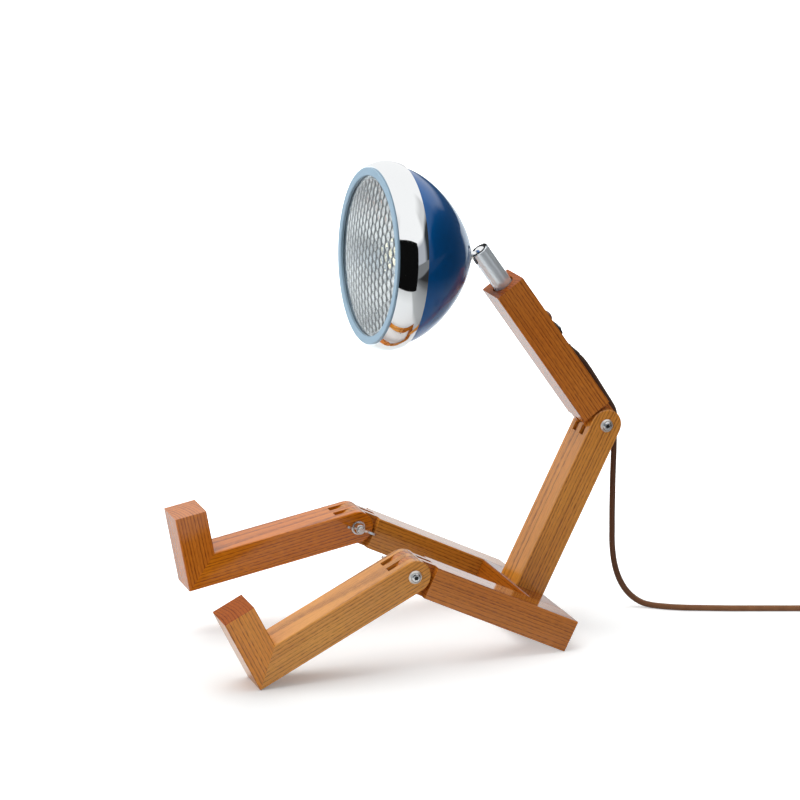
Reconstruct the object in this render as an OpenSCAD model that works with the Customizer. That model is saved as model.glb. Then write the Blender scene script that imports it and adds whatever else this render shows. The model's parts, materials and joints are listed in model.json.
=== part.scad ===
// Desk lamp shaped like a sitting figure: jointed wooden bars, a headlamp for a head,
// and a mains lead that leaves the back. The figure faces -Y, its left leg is at +X.

/* [Bars] */
// Width of every wooden bar, across its joints
bar_w = 30; // [27:0.5:36]
// Thickness of every wooden bar
bar_t = 23.5; // [21:0.5:26]
// Thigh, from its back end to the knee axis
thigh_len = 132; // [115:1:150]
// Shin, from the knee axis to the sole
shin_len = 132; // [115:1:150]
// Lower torso, from the top of the seat to the waist axis
lower_torso_len = 132; // [115:1:150]
// Upper torso, from the waist axis to its top end
upper_torso_len = 132; // [124:1:150]
// Foot, from the underside of the shin to the toe
foot_len = 56; // [45:1:70]
// Space between the two thighs
hip_w = 90; // [75:1:110]
// Depth of the block that joins the thighs
hip_d = 28; // [26:0.5:34]
// Chamfer along the long edges of the bars
edge = 0.6; // [0.3:0.1:1]

/* [Pose] */
// Slope of the seat and thighs, upwards to the front
seat_tilt = 26.3; // [22:0.1:30]
// Slope of the right shin, downwards to the foot
right_shin_slope = 10; // [4:0.5:20]
// Forward lean of the upper torso from upright
torso_lean = 35.1; // [25:0.1:45]
// Upward tilt of the lamp head from level
head_lift = 3.8; // [-5:0.1:10]

/* [Joints] */
// Gap between a rounded finger and the shoulder of the next bar
shoulder_gap = 1.75; // [1:0.05:3]
// Gap between a rounded tongue and the bottom of its slot
slot_gap = 1.75; // [1:0.25:4]
// Gap on each side of a tongue in its slot
side_gap = 0.15; // [0.1:0.05:0.3]
// Diameter of the joint bolts
bolt_d = 5; // [4:0.5:6]
// Radial clearance of a bolt in its bore
bolt_fit = 0.08; // [0.05:0.01:0.1]
// Diameter of the cup washer under a bolt head
cup_d = 9.8; // [9:0.1:12]
// Height of the cup washer
cup_h = 1.6; // [1:0.1:2.5]
// Height of the seat for the bolt head inside the cup washer
cup_seat = 0.5; // [0.3:0.1:0.8]
// Diameter of a bolt head
bolt_head_d = 7; // [6.4:0.1:8]
// Height of a bolt head
bolt_head_h = 2.2; // [1.8:0.1:3]
// Diameter of the flat washer under a wing nut
washer_d = 10.4; // [9:0.1:13]
// Thickness of the flat washer
washer_t = 1; // [0.8:0.1:1.5]
// Tip to tip span of a wing nut
wing_span = 24; // [20:0.5:30]
// Diameter of a wing nut's hub at its base
wing_hub_d = 8.6; // [8:0.1:10]
// Height of a wing nut's hub
wing_hub_h = 5.4; // [4:0.1:7]
// Turn of the wing nuts at rest
wing_turn = -21; // [-90:1:90]
// Diameter of the dowels in the glued corners
dowel_d = 6; // [5:0.5:8]
// Length of the hip dowels
hip_dowel_len = 30; // [24:1:40]
// Length of the dowels across the mitre of a foot
foot_dowel_len = 14; // [10:0.5:16]
// Length of the dowels under the lower torso
torso_dowel_len = 24; // [18:1:30]
// Diameter of the screw under the lower torso
screw_d = 5; // [4:0.5:6]
// Length of that screw
screw_len = 60; // [45:1:80]

/* [Neck] */
// Outer diameter of the chrome neck tube
neck_d = 14; // [13:0.1:16]
// Wall of the neck tube
neck_wall = 0.8; // [0.6:0.05:1]
// Height of the ball centre over the top of the torso
ball_height = 27.5; // [24:0.5:32]
// Diameter of the head's ball
ball_d = 12; // [11:0.05:12.1]
// Neck tube over the ball centre
neck_over_ball = 4.2; // [3.8:0.1:4.6]
// Diameter of the hollow stem between ball and shell
stem_d = 5; // [4.5:0.1:5.5]
// Diameter of the bore in the top of the upper torso
neck_bore_d = 16.6; // [16.6:0.1:19]
// Depth of that bore
neck_bore_depth = 46; // [44:0.5:48]
// How far the neck sleeve sits below the top of the torso
sleeve_inset = 6; // [4:0.5:8]
// Length of the neck sleeve
sleeve_len = 36; // [34:0.5:36]
// Radial clearance of the neck tube in its sleeve, and of the ball in its seat
turn_fit = 0.05; // [0.03:0.01:0.08]

/* [Head] */
// Distance from the ball centre to the front of the lens ring
head_reach = 86.3; // [84:0.1:92]
// Diameter of the shell where the rim grips it
shell_d = 125; // [118:0.5:130]
// Distance from the front of the head to the shell's curve
shell_start = 21.5; // [20:0.1:24]
// Length of the shell's curved back
shell_curve = 55; // [50:0.5:56]
// Wall of the shell
shell_wall = 1; // [0.8:0.1:1.4]
// Height of the rim's bulge over the shell
rim_bulge = 3.9; // [3:0.1:6]
// Wall of the chrome rim
rim_wall = 1; // [0.8:0.1:1.2]
// Radial width of the lens ring
ring_w = 5.6; // [4:0.1:7]
// Thickness of the lens ring
ring_t = 1.5; // [1:0.1:2]
// Width of the ring's sloping inner part
ring_slope_w = 0.6; // [0.4:0.1:3.6]
// Fall of that part towards the lens
ring_slope_h = 1.1; // [0:0.1:1.2]
// Rise of the lens at its middle
lens_dome = 4.5; // [2:0.1:7]
// Thickness of the lens
lens_t = 2.6; // [2:0.1:3.5]
// Depth of the reflector's bowl
reflector_depth = 41; // [36:0.5:43]
// Diameter of the reflector's neck and of the lampholder in it
holder_d = 18; // [16:0.5:22]
// Diameter of the bulb's clear cover
bulb_d = 15; // [13:0.5:17]
// Length of the bulb's clear cover
bulb_len = 26; // [20:0.5:30]

/* [Switch] */
// Distance from the top of the torso down to the push switch
switch_down = 53.5; // [53:0.5:56]
// Diameter of the switch bezel
bezel_d = 13; // [12.6:0.1:15]
// Height of the switch bezel
bezel_h = 3.9; // [2:0.1:4]
// Diameter of the switch body in the wood
switch_d = 11.6; // [11:0.1:12]
// Depth of the switch body
switch_depth = 9.5; // [8:0.5:10]
// Diameter of the push button
button_d = 6.6; // [5.5:0.1:7.5]
// How far the button stands out of the bezel
button_rise = 1.6; // [1.6:0.1:2.5]
// Height of the plug's dome over the neck screw
cap_h = 3.3; // [2:0.1:4]
// Diameter of that plug
cap_d = 10.6; // [9:0.1:11.4]
// Distance between the centres of the switch and the plug
cap_pitch = 12.2; // [12:0.1:13]

/* [Lead] */
// Diameter of the fabric covered mains lead
lead_d = 4.4; // [4:0.1:4.6]
// Distance from the top of the torso down to where the lead leaves the wood
lead_down = 70; // [70:0.5:72]
// Slope of the lead's exit hole from the torso's back
lead_slope = 15; // [13:0.5:17]
// Middle radius of the coil's first layer
coil_r = 26.4; // [26.4:0.1:27]

/* [Hidden] */

$fn = 96;
eps = 0.01;
over = 1;                          // how far a cutting shape reaches past what it cuts
loose = 0.1;                       // clearance of the small pieces that only lie against each other
tip_r = bar_t / 2;                 // rounded end of a finger or tongue
layer = bar_w / 5;                 // three fingers and two tongues share the width
shoulder = tip_r + shoulder_gap;
slot_end = tip_r + slot_gap;
leg_x = (hip_w + bar_w) / 2;
bolt_r = bolt_d / 2;
bore_r = bolt_r + bolt_fit;

// Heights and depths of the knee and waist axes, with the seat's rear edge on the floor
function turned(a, y, z) = [y * cos(a) + z * sin(a), z * cos(a) - y * sin(a)];
knee = turned(seat_tilt, -thigh_len, tip_r);
waist = turned(seat_tilt, -hip_d / 2, bar_t + lower_torso_len);
// The left heel stands on the floor, so the left shin's slope follows from the knee
left_shin_slope = asin(knee[1] / norm([shin_len, tip_r])) - atan2(tip_r, shin_len);
function toe_y(slope) = knee[0] - shin_len * cos(slope) - (foot_len - tip_r) * sin(slope);
front_y = min(toe_y(left_shin_slope), toe_y(right_shin_slope));
rear_y = -(front_y + waist[0] + tip_r) / 2;   // centres the figure on the origin

// ---- Frames -------------------------------------------------------------------------

// The seat: X across, Y to the back, Z up from the underside
module at_seat() translate([0, rear_y, 0]) rotate([-seat_tilt, 0, 0]) children();

// A knee, side 1 for the left and -1 for the right: the shin runs along -Y
module at_knee(side)
  translate([side * leg_x, rear_y + knee[0], knee[1]])
    rotate([side > 0 ? left_shin_slope : right_shin_slope, 0, 0]) children();

// The waist: the upper torso runs along +Z, its back is at +Y
module at_waist() translate([0, rear_y + waist[0], waist[1]]) rotate([torso_lean, 0, 0]) children();

// The waist bolt's own frame, in line with the lower torso
module at_waist_bolt() translate([0, rear_y + waist[0], waist[1]]) rotate([-seat_tilt, 0, 0]) children();

// The ball: the head looks along -Y
ball_up = upper_torso_len + ball_height;
module at_ball() at_waist() translate([0, 0, ball_up]) rotate([-torso_lean - head_lift, 0, 0]) children();

// ---- Wooden bars --------------------------------------------------------------------

// Chamfered rectangle
module bar_section(w, t)
  polygon([
    [-w / 2 + edge, -t / 2], [w / 2 - edge, -t / 2], [w / 2, -t / 2 + edge], [w / 2, t / 2 - edge],
    [w / 2 - edge, t / 2], [-w / 2 + edge, t / 2], [-w / 2, t / 2 - edge], [-w / 2, -t / 2 + edge]
  ]);

// Straight bar along -Y
module beam(from, to)
  translate([0, -from, 0]) rotate([90, 0, 0]) linear_extrude(to - from) bar_section(bar_w, bar_t);

// Disc on the joint axis X, with chamfered rims
module round_tip(w, r, chamfer)
  rotate([0, 90, 0]) rotate_extrude()
    polygon([[0, -w / 2], [r - chamfer, -w / 2], [r, chamfer - w / 2],
             [r, w / 2 - chamfer], [r - chamfer, w / 2], [0, w / 2]]);

// Flat outline in the YZ plane, w thick along X
module side_plate(w, points) rotate([90, 0, 90]) linear_extrude(w, center = true) polygon(points);

module joint_bore(w) rotate([0, 90, 0]) cylinder(h = w + 2 * over, r = bore_r, center = true);

// Bar with three rounded fingers round the axis, along -Y
module fingered_bar(len)
  difference() {
    union() {
      beam(0, len);
      round_tip(bar_w, tip_r, edge);
    }
    for (s = [-1, 1])
      translate([s * layer - layer / 2, -slot_end, -bar_t]) cube([layer, slot_end + bar_t, 2 * bar_t]);
    joint_bore(bar_w);
  }

// Bar with two rounded tongues round the axis, along -Y
tongue_w = layer - 2 * side_gap;
module tongued_bar(len)
  difference() {
    union() {
      beam(shoulder, len);
      for (s = [-1, 1]) translate([s * layer, 0, 0]) {
        round_tip(tongue_w, tip_r, edge / 2);
        translate([-tongue_w / 2, -shoulder - over, -tip_r]) cube([tongue_w, shoulder + over, bar_t]);
      }
    }
    joint_bore(bar_w);
  }

// Half plane that the mitre of a foot takes off the shin, or off the foot
function mitre(past) = [
  [-shin_len - over, -tip_r - over],
  [-shin_len + bar_t + over, tip_r + over],
  past > 0 ? [-shin_len - over, tip_r + over] : [-shin_len + bar_t + over, -tip_r - over]
];

module shin() difference() {
  fingered_bar(shin_len);
  side_plate(bar_w + 2 * over, mitre(1));
  foot_dowel_pair();
}

module foot() difference() {
  translate([0, tip_r - shin_len, -tip_r]) linear_extrude(foot_len) bar_section(bar_w, bar_t);
  side_plate(bar_w + 2 * over, mitre(-1));
  foot_dowel_pair();
}

module foot_dowel_pair()
  for (s = [-1, 1])
    translate([s * bar_w / 4, tip_r - shin_len, 0]) rotate([45, 0, 0])
      cylinder(h = foot_dowel_len, d = dowel_d, center = true);

// ---- Seat and torso -----------------------------------------------------------------

oak = [0.70, 0.42, 0.22];
hip_dowel_y = [0.27 * hip_d, 0.73 * hip_d];

module hip_dowel_set()
  for (s = [-1, 1], y = hip_dowel_y)
    translate([s * hip_w / 2, -y, tip_r]) rotate([0, 90, 0])
      cylinder(h = hip_dowel_len, d = dowel_d, center = true);

module thigh(side) at_seat() difference() {
  translate([side * leg_x, -thigh_len, tip_r]) rotate([0, 0, 180]) tongued_bar(thigh_len);
  hip_dowel_set();
}

module left_thigh() color(oak) thigh(1);
module right_thigh() color(oak) thigh(-1);

screw_head_d = 2 * screw_d;
screw_head_h = screw_d / 2;
module torso_screw_shape()
  translate([0, -hip_d / 2, 0]) {
    cylinder(h = screw_head_h, d1 = screw_head_d, d2 = screw_d);
    cylinder(h = screw_len, d = screw_d);
  }

torso_dowel_x = 0.32 * bar_w;
module torso_dowel_pair()
  for (s = [-1, 1])
    translate([s * torso_dowel_x, -hip_d / 2, bar_t])
      cylinder(h = torso_dowel_len, d = dowel_d, center = true);

module seat_block() color(oak) at_seat() difference() {
  translate([0, -hip_d / 2, tip_r]) rotate([90, 0, 90])
    linear_extrude(hip_w, center = true) bar_section(hip_d, bar_t);
  hip_dowel_set();
  torso_dowel_pair();
  torso_screw_shape();
}

module hip_dowels() color("burlywood") at_seat() hip_dowel_set();

module lower_torso() color(oak) at_seat() difference() {
  translate([0, -hip_d / 2, bar_t + lower_torso_len]) rotate([90, 0, 0]) fingered_bar(lower_torso_len);
  torso_dowel_pair();
  torso_screw_shape();
}

module torso_dowels() color("burlywood") at_seat() torso_dowel_pair();

// Countersunk screw with a hexagon socket
module torso_screw() color("silver") at_seat() difference() {
  torso_screw_shape();
  translate([0, -hip_d / 2, -eps]) cylinder(h = screw_head_h, d = screw_d / 2, $fn = 6);
}

// ---- Joint bolts, with the head at +X -----------------------------------------------

head_x = bar_w / 2 + cup_seat;         // underside of the bolt head
nut_x = bar_w / 2 + washer_t + loose;  // seat of the wing nut, just off its washer
shank_end = nut_x + wing_hub_h + 1.6;  // the bolt shows a turn of thread past the nut

module bolt()
  rotate([0, 90, 0]) difference() {
    union() {
      translate([0, 0, -shank_end]) cylinder(h = shank_end + head_x + eps, r = bolt_r);
      translate([0, 0, head_x]) rotate_extrude()
        polygon(concat([[0, 0], [bolt_head_d / 2, 0]],
          [for (a = [0:15:75]) [bolt_head_d / 2 * (0.45 + 0.55 * cos(a)),
                                bolt_head_h * (0.3 + 0.7 * sin(a))]],
          [[0, bolt_head_h]]));
    }
    translate([0, 0, head_x + bolt_head_h * 0.3]) cylinder(h = bolt_head_h, d = bolt_head_d * 0.43, $fn = 6);
  }

module cup_washer()
  translate([bar_w / 2, 0, 0]) rotate([0, 90, 0]) rotate_extrude()
    polygon([[bore_r, 0], [cup_d / 2, 0], [cup_d / 2, cup_h * 0.3], [bolt_head_d / 2 + 0.5, cup_h],
             [bolt_head_d / 2 + loose / 2, cup_h], [bolt_head_d / 2 + loose / 2, cup_seat], [bore_r, cup_seat]]);

module flat_washer()
  translate([-bar_w / 2 - washer_t, 0, 0]) rotate([0, 90, 0]) difference() {
    cylinder(h = washer_t, d = washer_d);
    translate([0, 0, -over]) cylinder(h = washer_t + 2 * over, r = bore_r);
  }

// Wing outline: radius from the bolt, and height away from the bar
wing_r = wing_span / 2;
wing_outline = concat(
  [[bolt_r + 1, 0.4], [0.55 * wing_r, 1.2]],
  [for (a = [-60:30:120]) [wing_r - 2.4 + 2.4 * cos(a), wing_hub_h + 0.6 + 2.4 * sin(a)]],
  [[0.5 * wing_r, wing_hub_h + 0.6], [bolt_r + 1, wing_hub_h - 0.4]]);
wing_t = 1.8;

module wing_nut()
  translate([-nut_x, 0, 0]) rotate([0, -90, 0]) difference() {
    union() {
      cylinder(h = wing_hub_h, d1 = wing_hub_d, d2 = wing_hub_d - 1.4);
      for (s = [0, 180]) rotate([90, 0, s + 90]) linear_extrude(wing_t, center = true) polygon(wing_outline);
    }
    translate([0, 0, -over]) cylinder(h = wing_hub_h + 2 * over, r = bore_r);
  }

// The same stack at the waist and at both knees, mirrored on the right leg
module at_joint(place) {
  if (place == "waist") at_waist_bolt() children();
  if (place == "left") at_knee(1) children();
  if (place == "right") at_knee(-1) mirror([1, 0, 0]) children();
}
function joint_turn(place) =
  place == "waist" ? -seat_tilt : place == "left" ? left_shin_slope : right_shin_slope;
module turned_nut(place) at_joint(place) rotate([wing_turn - joint_turn(place), 0, 0]) wing_nut();

module waist_bolt() color("silver") at_joint("waist") bolt();
module waist_cup_washer() color("silver") at_joint("waist") cup_washer();
module waist_washer() color("silver") at_joint("waist") flat_washer();
module waist_wing_nut() color("gainsboro") turned_nut("waist");

// ---- Legs ---------------------------------------------------------------------------

module left_shin() color(oak) at_knee(1) shin();
module left_foot() color(oak) at_knee(1) foot();
module left_foot_dowels() color("burlywood") at_knee(1) foot_dowel_pair();
module left_knee_bolt() color("silver") at_joint("left") bolt();
module left_knee_cup_washer() color("silver") at_joint("left") cup_washer();
module left_knee_washer() color("silver") at_joint("left") flat_washer();
module left_knee_wing_nut() color("gainsboro") turned_nut("left");

module right_shin() color(oak) at_knee(-1) shin();
module right_foot() color(oak) at_knee(-1) foot();
module right_foot_dowels() color("burlywood") at_knee(-1) foot_dowel_pair();
module right_knee_bolt() color("silver") at_joint("right") bolt();
module right_knee_cup_washer() color("silver") at_joint("right") cup_washer();
module right_knee_washer() color("silver") at_joint("right") flat_washer();
module right_knee_wing_nut() color("gainsboro") turned_nut("right");

// ---- Upper torso --------------------------------------------------------------------

bore_floor = upper_torso_len - neck_bore_depth;
sleeve_top = upper_torso_len - sleeve_inset;
sleeve_foot = sleeve_top - sleeve_len;
switch_z = upper_torso_len - switch_down;
cap_z = switch_z + cap_pitch;
switch_pocket = switch_depth + 4;
lead_z = upper_torso_len - lead_down;
gland_d = lead_d + 1.4;
exit_depth = 14;       // the hole runs into the switch pocket
gland_in = 8;          // gland inside the wood
gland_out = 12;        // gland along the lead, outside
neck_screw_d = 4;

// The lead's exit: Z runs along the lead, out of the torso
module at_exit() translate([0, tip_r, lead_z]) rotate([lead_slope - 180, 0, 0]) children();

module upper_torso() color(oak) at_waist() difference() {
  rotate([-90, 0, 0]) tongued_bar(upper_torso_len);
  // neck bore, and the wire channel from it to the switch
  translate([0, 0, bore_floor]) cylinder(h = neck_bore_depth + over, d = neck_bore_d);
  translate([0, 0, switch_z]) cylinder(h = bore_floor - switch_z + over, d = 6);
  // switch pocket and neck screw, from the back
  translate([0, tip_r - switch_pocket, switch_z]) rotate([-90, 0, 0])
    cylinder(h = switch_pocket + over, d = switch_d + 0.2);
  translate([0, 0, cap_z]) rotate([-90, 0, 0]) cylinder(h = bar_t, d = neck_screw_d);
  at_exit() translate([0, 0, -exit_depth]) cylinder(h = exit_depth + gland_out, d = gland_d);
}

module neck_sleeve() color("dimgray") at_waist() translate([0, 0, sleeve_foot]) difference() {
  cylinder(h = sleeve_len, d = neck_bore_d);
  translate([0, 0, -over]) cylinder(h = sleeve_len + 2 * over, r = neck_d / 2 + turn_fit);
}

module neck_screw() color("silver") at_waist() translate([0, neck_bore_d / 2, cap_z]) rotate([-90, 0, 0])
  difference() {
    cylinder(h = tip_r - neck_bore_d / 2 - 0.3, d = neck_screw_d);
    translate([0, 0, 1]) cylinder(h = bar_t, d = neck_screw_d / 2, $fn = 6);
  }

// Low dome with a rounded edge, standing on z = 0
module dome(d, h)
  rotate_extrude() polygon(concat([[0, 0]],
    [for (a = [0:10:80]) [d / 2 * cos(a), h * sin(a)]], [[0, h]]));

module screw_cap() color("saddlebrown") at_waist() translate([0, tip_r, cap_z]) rotate([-90, 0, 0])
  dome(cap_d, cap_h);

button_r = button_d / 2;
button_in = 4;          // button's shank inside the bezel and the switch body
travel_room = 2;
module switch_body() color("black") at_waist()
  translate([0, tip_r - switch_depth, switch_z]) rotate([-90, 0, 0]) difference() {
    cylinder(h = switch_depth, d = switch_d);
    translate([0, 0, switch_depth - button_in - travel_room])
      cylinder(h = button_in + travel_room + over, r = button_r + turn_fit);
  }

module switch_bezel() color("black") at_waist() translate([0, tip_r, switch_z]) rotate([-90, 0, 0])
  difference() {
    rotate_extrude() polygon([[0, 0], [bezel_d / 2, 0], [bezel_d / 2, bezel_h * 0.4],
      [bezel_d / 2 - 0.5, bezel_h * 0.8], [bezel_d / 2 - 1.2, bezel_h], [0, bezel_h]]);
    translate([0, 0, -over]) cylinder(h = bezel_h + 2 * over, r = button_r + turn_fit);
  }

module switch_button() color("silver") at_waist()
  translate([0, tip_r + bezel_h, switch_z]) rotate([-90, 0, 0]) {
    translate([0, 0, -bezel_h - button_in])
      cylinder(h = bezel_h + button_in + button_rise * 0.5, r = button_r);
    translate([0, 0, button_rise * 0.5 - eps]) dome(button_d, button_rise * 0.5 + eps);
  }

// Rubber sleeve that guides the lead out of the wood and tapers along it
module lead_gland() color([0.2, 0.12, 0.08]) at_waist() at_exit() difference() {
  union() {
    translate([0, 0, -gland_in]) cylinder(h = gland_in + 2, d = gland_d);
    translate([0, 0, 2]) cylinder(h = gland_out - 2, d1 = gland_d, d2 = lead_d + 0.7);
  }
  translate([0, 0, -gland_in - over]) cylinder(h = gland_in + gland_out + 2 * over, d = lead_d + 0.1);
}

// ---- Neck ---------------------------------------------------------------------------

neck_r = neck_d / 2;
neck_in_r = neck_r - neck_wall;
neck_top = ball_up + neck_over_ball;
neck_foot = bore_floor + 0.2;
clip_t = 1;
clip_depth = 0.4;
stem_r = stem_d / 2;
stem_slot = stem_r + 0.3;
ball_r = ball_d / 2;
lip_h = 1.2;
lip_r = ball_r - 0.7;

// Rolled tube with a seam down its front, a rolled-in lip over the ball and a notch for the stem
module neck_tube() color("silver") at_waist() difference() {
  translate([0, 0, neck_foot]) cylinder(h = neck_top - neck_foot, r = neck_r);
  translate([0, 0, neck_foot - over]) cylinder(h = neck_top - lip_h - neck_foot + over, r = neck_in_r);
  translate([0, 0, neck_foot]) cylinder(h = neck_top - neck_foot + over, r = lip_r);
  translate([-0.5, -neck_r - over, neck_foot - over])
    cube([1, neck_r + over, neck_top - neck_foot + 2 * over]);
  translate([-stem_slot, -neck_r - over, ball_up])
    cube([2 * stem_slot, neck_r + over, neck_over_ball + over]);
  translate([0, 0, ball_up]) rotate([90, 0, 0]) cylinder(h = neck_r + over, r = stem_slot);
  translate([0, 0, sleeve_foot - clip_t - 0.3]) difference() {
    cylinder(h = clip_t + 0.1, r = neck_r + over);
    translate([0, 0, -over]) cylinder(h = clip_t + 2 * over, r = neck_r - clip_depth);
  }
}

// Retaining clip in a groove under the sleeve
module neck_clip() color("dimgray") at_waist() translate([0, 0, sleeve_foot - clip_t - 0.25]) difference() {
  cylinder(h = clip_t, r = neck_bore_d / 2 - 0.3);
  translate([0, 0, -over]) cylinder(h = clip_t + 2 * over, r = neck_r - clip_depth);
  translate([-2.5, 0, -over]) cube([5, neck_bore_d, clip_t + 2 * over]);
}

wire_r = 1.5;
seat_h = 5;
seat_z = ball_up - ball_r + 2 - seat_h;   // underside of the seat
spring_len = 12;
stop_h = 3;
wire_foot = switch_z + 2;                 // the wires end in the switch pocket
module ball_seat() color("goldenrod") at_waist() difference() {
  translate([0, 0, seat_z]) cylinder(h = seat_h, r = neck_in_r - loose);
  translate([0, 0, seat_z - over]) cylinder(h = seat_h + 2 * over, r = wire_r + 0.6);
  translate([0, 0, ball_up]) sphere(r = ball_r + turn_fit);
}

// Coil spring as a swept wire between the seat and the stop
spring_turns = 4;
spring_wire = 0.5;
spring_r = neck_in_r - 1.4;
spring_steps = 14;
spring_path = [for (i = [0:spring_turns * spring_steps])
  let (a = 360 * i / spring_steps, run = spring_len - 2 * spring_wire)
  [spring_r * cos(a), spring_r * sin(a), spring_wire + run * i / (spring_turns * spring_steps)]];
module neck_spring() color("silver") at_waist() translate([0, 0, seat_z - spring_len])
  tube(spring_path, spring_wire, 6, [0, 0, 1]);

module spring_stop() color("dimgray") at_waist()
  translate([0, 0, seat_z - spring_len - stop_h]) difference() {
    cylinder(h = stop_h, r = neck_in_r - loose / 2);
    translate([0, 0, -over]) cylinder(h = stop_h + 2 * over, r = wire_r);
  }

module neck_lead() color("white") at_waist()
  translate([0, 0, wire_foot]) cylinder(h = seat_z + 1 - wire_foot, r = wire_r);

// ---- Head ---------------------------------------------------------------------------
// Turned parts are outlines of [radius, distance behind the head's front].

module turned_part(points)
  at_ball() rotate([90, 0, 0]) rotate_extrude() polygon([for (p = points) [p[0], head_reach - p[1]]]);

shell_r = shell_d / 2;
shell_tip = shell_start + shell_curve;
collar_r = 4.5;
shell_front = ring_t + 6.5;
shell_steps = 20;
shell_p = 1.58;                    // fullness of the shell's curve near the rim
shell_q = 1.47;                    // roundness of its nose
// Radius of a shell curve that starts at radius r and ends at depth tip, at share u of its length
function shell_radius(r, u) = r * pow(1 - pow(u, shell_p), 1 / shell_q);
function share_at(r, end_r) = pow(1 - pow(end_r / r, shell_q), 1 / shell_p);
function shell_line(r, tip) =
  [for (i = [0:shell_steps]) let (u = share_at(r, collar_r) * sin(90 * i / shell_steps))
    [shell_radius(r, u), shell_start + (tip - shell_start) * u]];
shell_out = shell_line(shell_r, shell_tip);
shell_in = shell_line(shell_r - shell_wall, shell_tip - 1.4 * shell_wall);
shell_flat = shell_out[shell_steps][1];
shell_flat_in = shell_in[shell_steps][1];
function reversed(v) = [for (i = [len(v) - 1:-1:0]) v[i]];

module head_shell() color([0.05, 0.23, 0.46]) turned_part(concat(
  [[shell_r, shell_front]], shell_out, [[stem_r, shell_flat], [stem_r, shell_flat_in]],
  reversed(shell_in), [[shell_r - shell_wall, shell_front]]));

// Ball, hollow stem and collar in one piece
stem_past = 7;                     // reach of the stem inside the shell
stem_end = shell_flat_in - stem_past;
module head_ball() color("silver") at_ball() rotate([90, 0, 0]) difference() {
  union() {
    sphere(r = ball_r);
    cylinder(h = head_reach - stem_end, r = stem_r);
    translate([0, 0, head_reach - shell_flat - 1.6]) cylinder(h = 1.6, r = collar_r);
  }
  translate([0, 0, -ball_r - over]) cylinder(h = head_reach, r = wire_r);
}

module stem_ring(depth, h, r, sides)
  at_ball() rotate([90, 0, 0]) translate([0, 0, head_reach - depth]) difference() {
    cylinder(h = h, r = r, $fn = sides);
    translate([0, 0, -over]) cylinder(h = h + 2 * over, r = stem_r);
  }
module stem_washer() color("silver") stem_ring(shell_flat_in, 1, 4.4, 96);
module stem_nut() color("silver") stem_ring(shell_flat_in - 1, 4, 4.6, 6);

ring_r = shell_r - 1;              // outer edge of the lens ring
rim_end = shell_start;
rim_top = 13.5;                    // depth of the rim's widest line
rim_steps = 12;
function rim_radius(s) = s < rim_top
  ? ring_r + (rim_bulge + 1) * (1 - pow((rim_top - s) / rim_top, 1.8))
  : shell_r + rim_bulge - 1.5 * pow((s - rim_top) / (rim_end - rim_top), 2);
function rim_line(from, to, inset) =
  [for (i = [0:rim_steps]) let (s = from + (to - from) * i / rim_steps) [rim_radius(s) - inset, s]];
lip_in = ring_r - ring_w + 0.4;      // edge of the rim's lip, behind the ring
lip_back = ring_t + 1.5;

rim_screw_s = rim_end - 4;
rim_screw_d = 2.6;
module at_rim_screw() at_ball() translate([0, rim_screw_s - head_reach, 0]) rotate([180, 0, 0]) children();

module chrome_rim() color("silver") difference() {
  turned_part(concat(
    rim_line(ring_t, rim_end, 0),
    [[shell_r + loose / 2, rim_end], [shell_r + loose / 2, rim_end - rim_wall]],
    reversed(rim_line(lip_back, rim_end - rim_wall, rim_wall)),
    [[lip_in, lip_back], [lip_in, ring_t]]));
  at_rim_screw() cylinder(h = shell_d, d = rim_screw_d + 0.4);
}

ring_bevel = 0.4;
ring_in = ring_r - ring_w;
module lens_ring() color([0.72, 0.82, 0.87]) turned_part([
  [ring_in, min(ring_slope_h, ring_t - 0.4)], [ring_in + ring_slope_w, 0], [ring_r - ring_bevel, 0],
  [ring_r, ring_bevel], [ring_r, ring_t], [ring_in, ring_t]
]);

lens_r = lip_in - 0.3;
lens_edge = ring_t + 0.4;
lens_steps = 8;
lens_flange = lip_back + lens_t;
function lens_line(r, s) =
  [for (i = [0:lens_steps]) let (u = i / lens_steps) [r * u, s - lens_dome * (1 - u * u)]];
module lens() color([0.85, 0.9, 0.92]) turned_part(concat(
  lens_line(lens_r, lens_edge),
  [[lens_r, lip_back], [shell_r - 1, lip_back], [shell_r - 1, lens_flange], [lens_r - 1.5, lens_flange]],
  reversed(lens_line(lens_r - 1.6, lens_flange - 1))));

// Parabolic bowl with a flange that the shell's front edge clamps, and a neck for the lampholder
bowl_t = 0.9;
bowl_front = shell_front - bowl_t;
gasket_r = shell_r - 0.6;
module lens_gasket() color("black") turned_part([
  [lens_r, lens_flange], [gasket_r, lens_flange], [gasket_r, bowl_front], [lens_r, bowl_front]
]);

bowl_r = lens_r - 2;
holder_r = holder_d / 2;
bowl_steps = 12;
bowl_focus = pow(bowl_r, 2) / reflector_depth;
function bowl_s(r) = bowl_front + reflector_depth - r * r / bowl_focus;
neck_back = bowl_s(holder_r) + 6;
function bowl_line(grow) = [for (i = [0:bowl_steps])
  let (r = bowl_r + (holder_r - bowl_r) * i / bowl_steps) [r + grow, bowl_s(r)]];
module reflector() color("gainsboro") turned_part(concat(
  [[shell_r - 0.2, bowl_front], [shell_r - 0.2, shell_front], [bowl_r + bowl_t, shell_front]],
  [for (p = bowl_line(bowl_t)) if (p[1] > shell_front + 0.5) p],
  [[holder_r + bowl_t, neck_back], [holder_r, neck_back]],
  reversed(bowl_line(0))));

holder_front = bowl_s(holder_r) - 2;
holder_back = neck_back + 5;
pin_r = bulb_d / 2 - 2.5;
module lampholder() color("ivory") turned_part([
  [pin_r, holder_front], [holder_r, holder_front], [holder_r, neck_back],
  [holder_r + bowl_t, neck_back], [holder_r + bowl_t, neck_back + 1.5], [holder_r - 1, neck_back + 1.5],
  [holder_r - 1, holder_back], [0, holder_back], [0, holder_front + 6], [pin_r, holder_front + 6]]);

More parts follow.
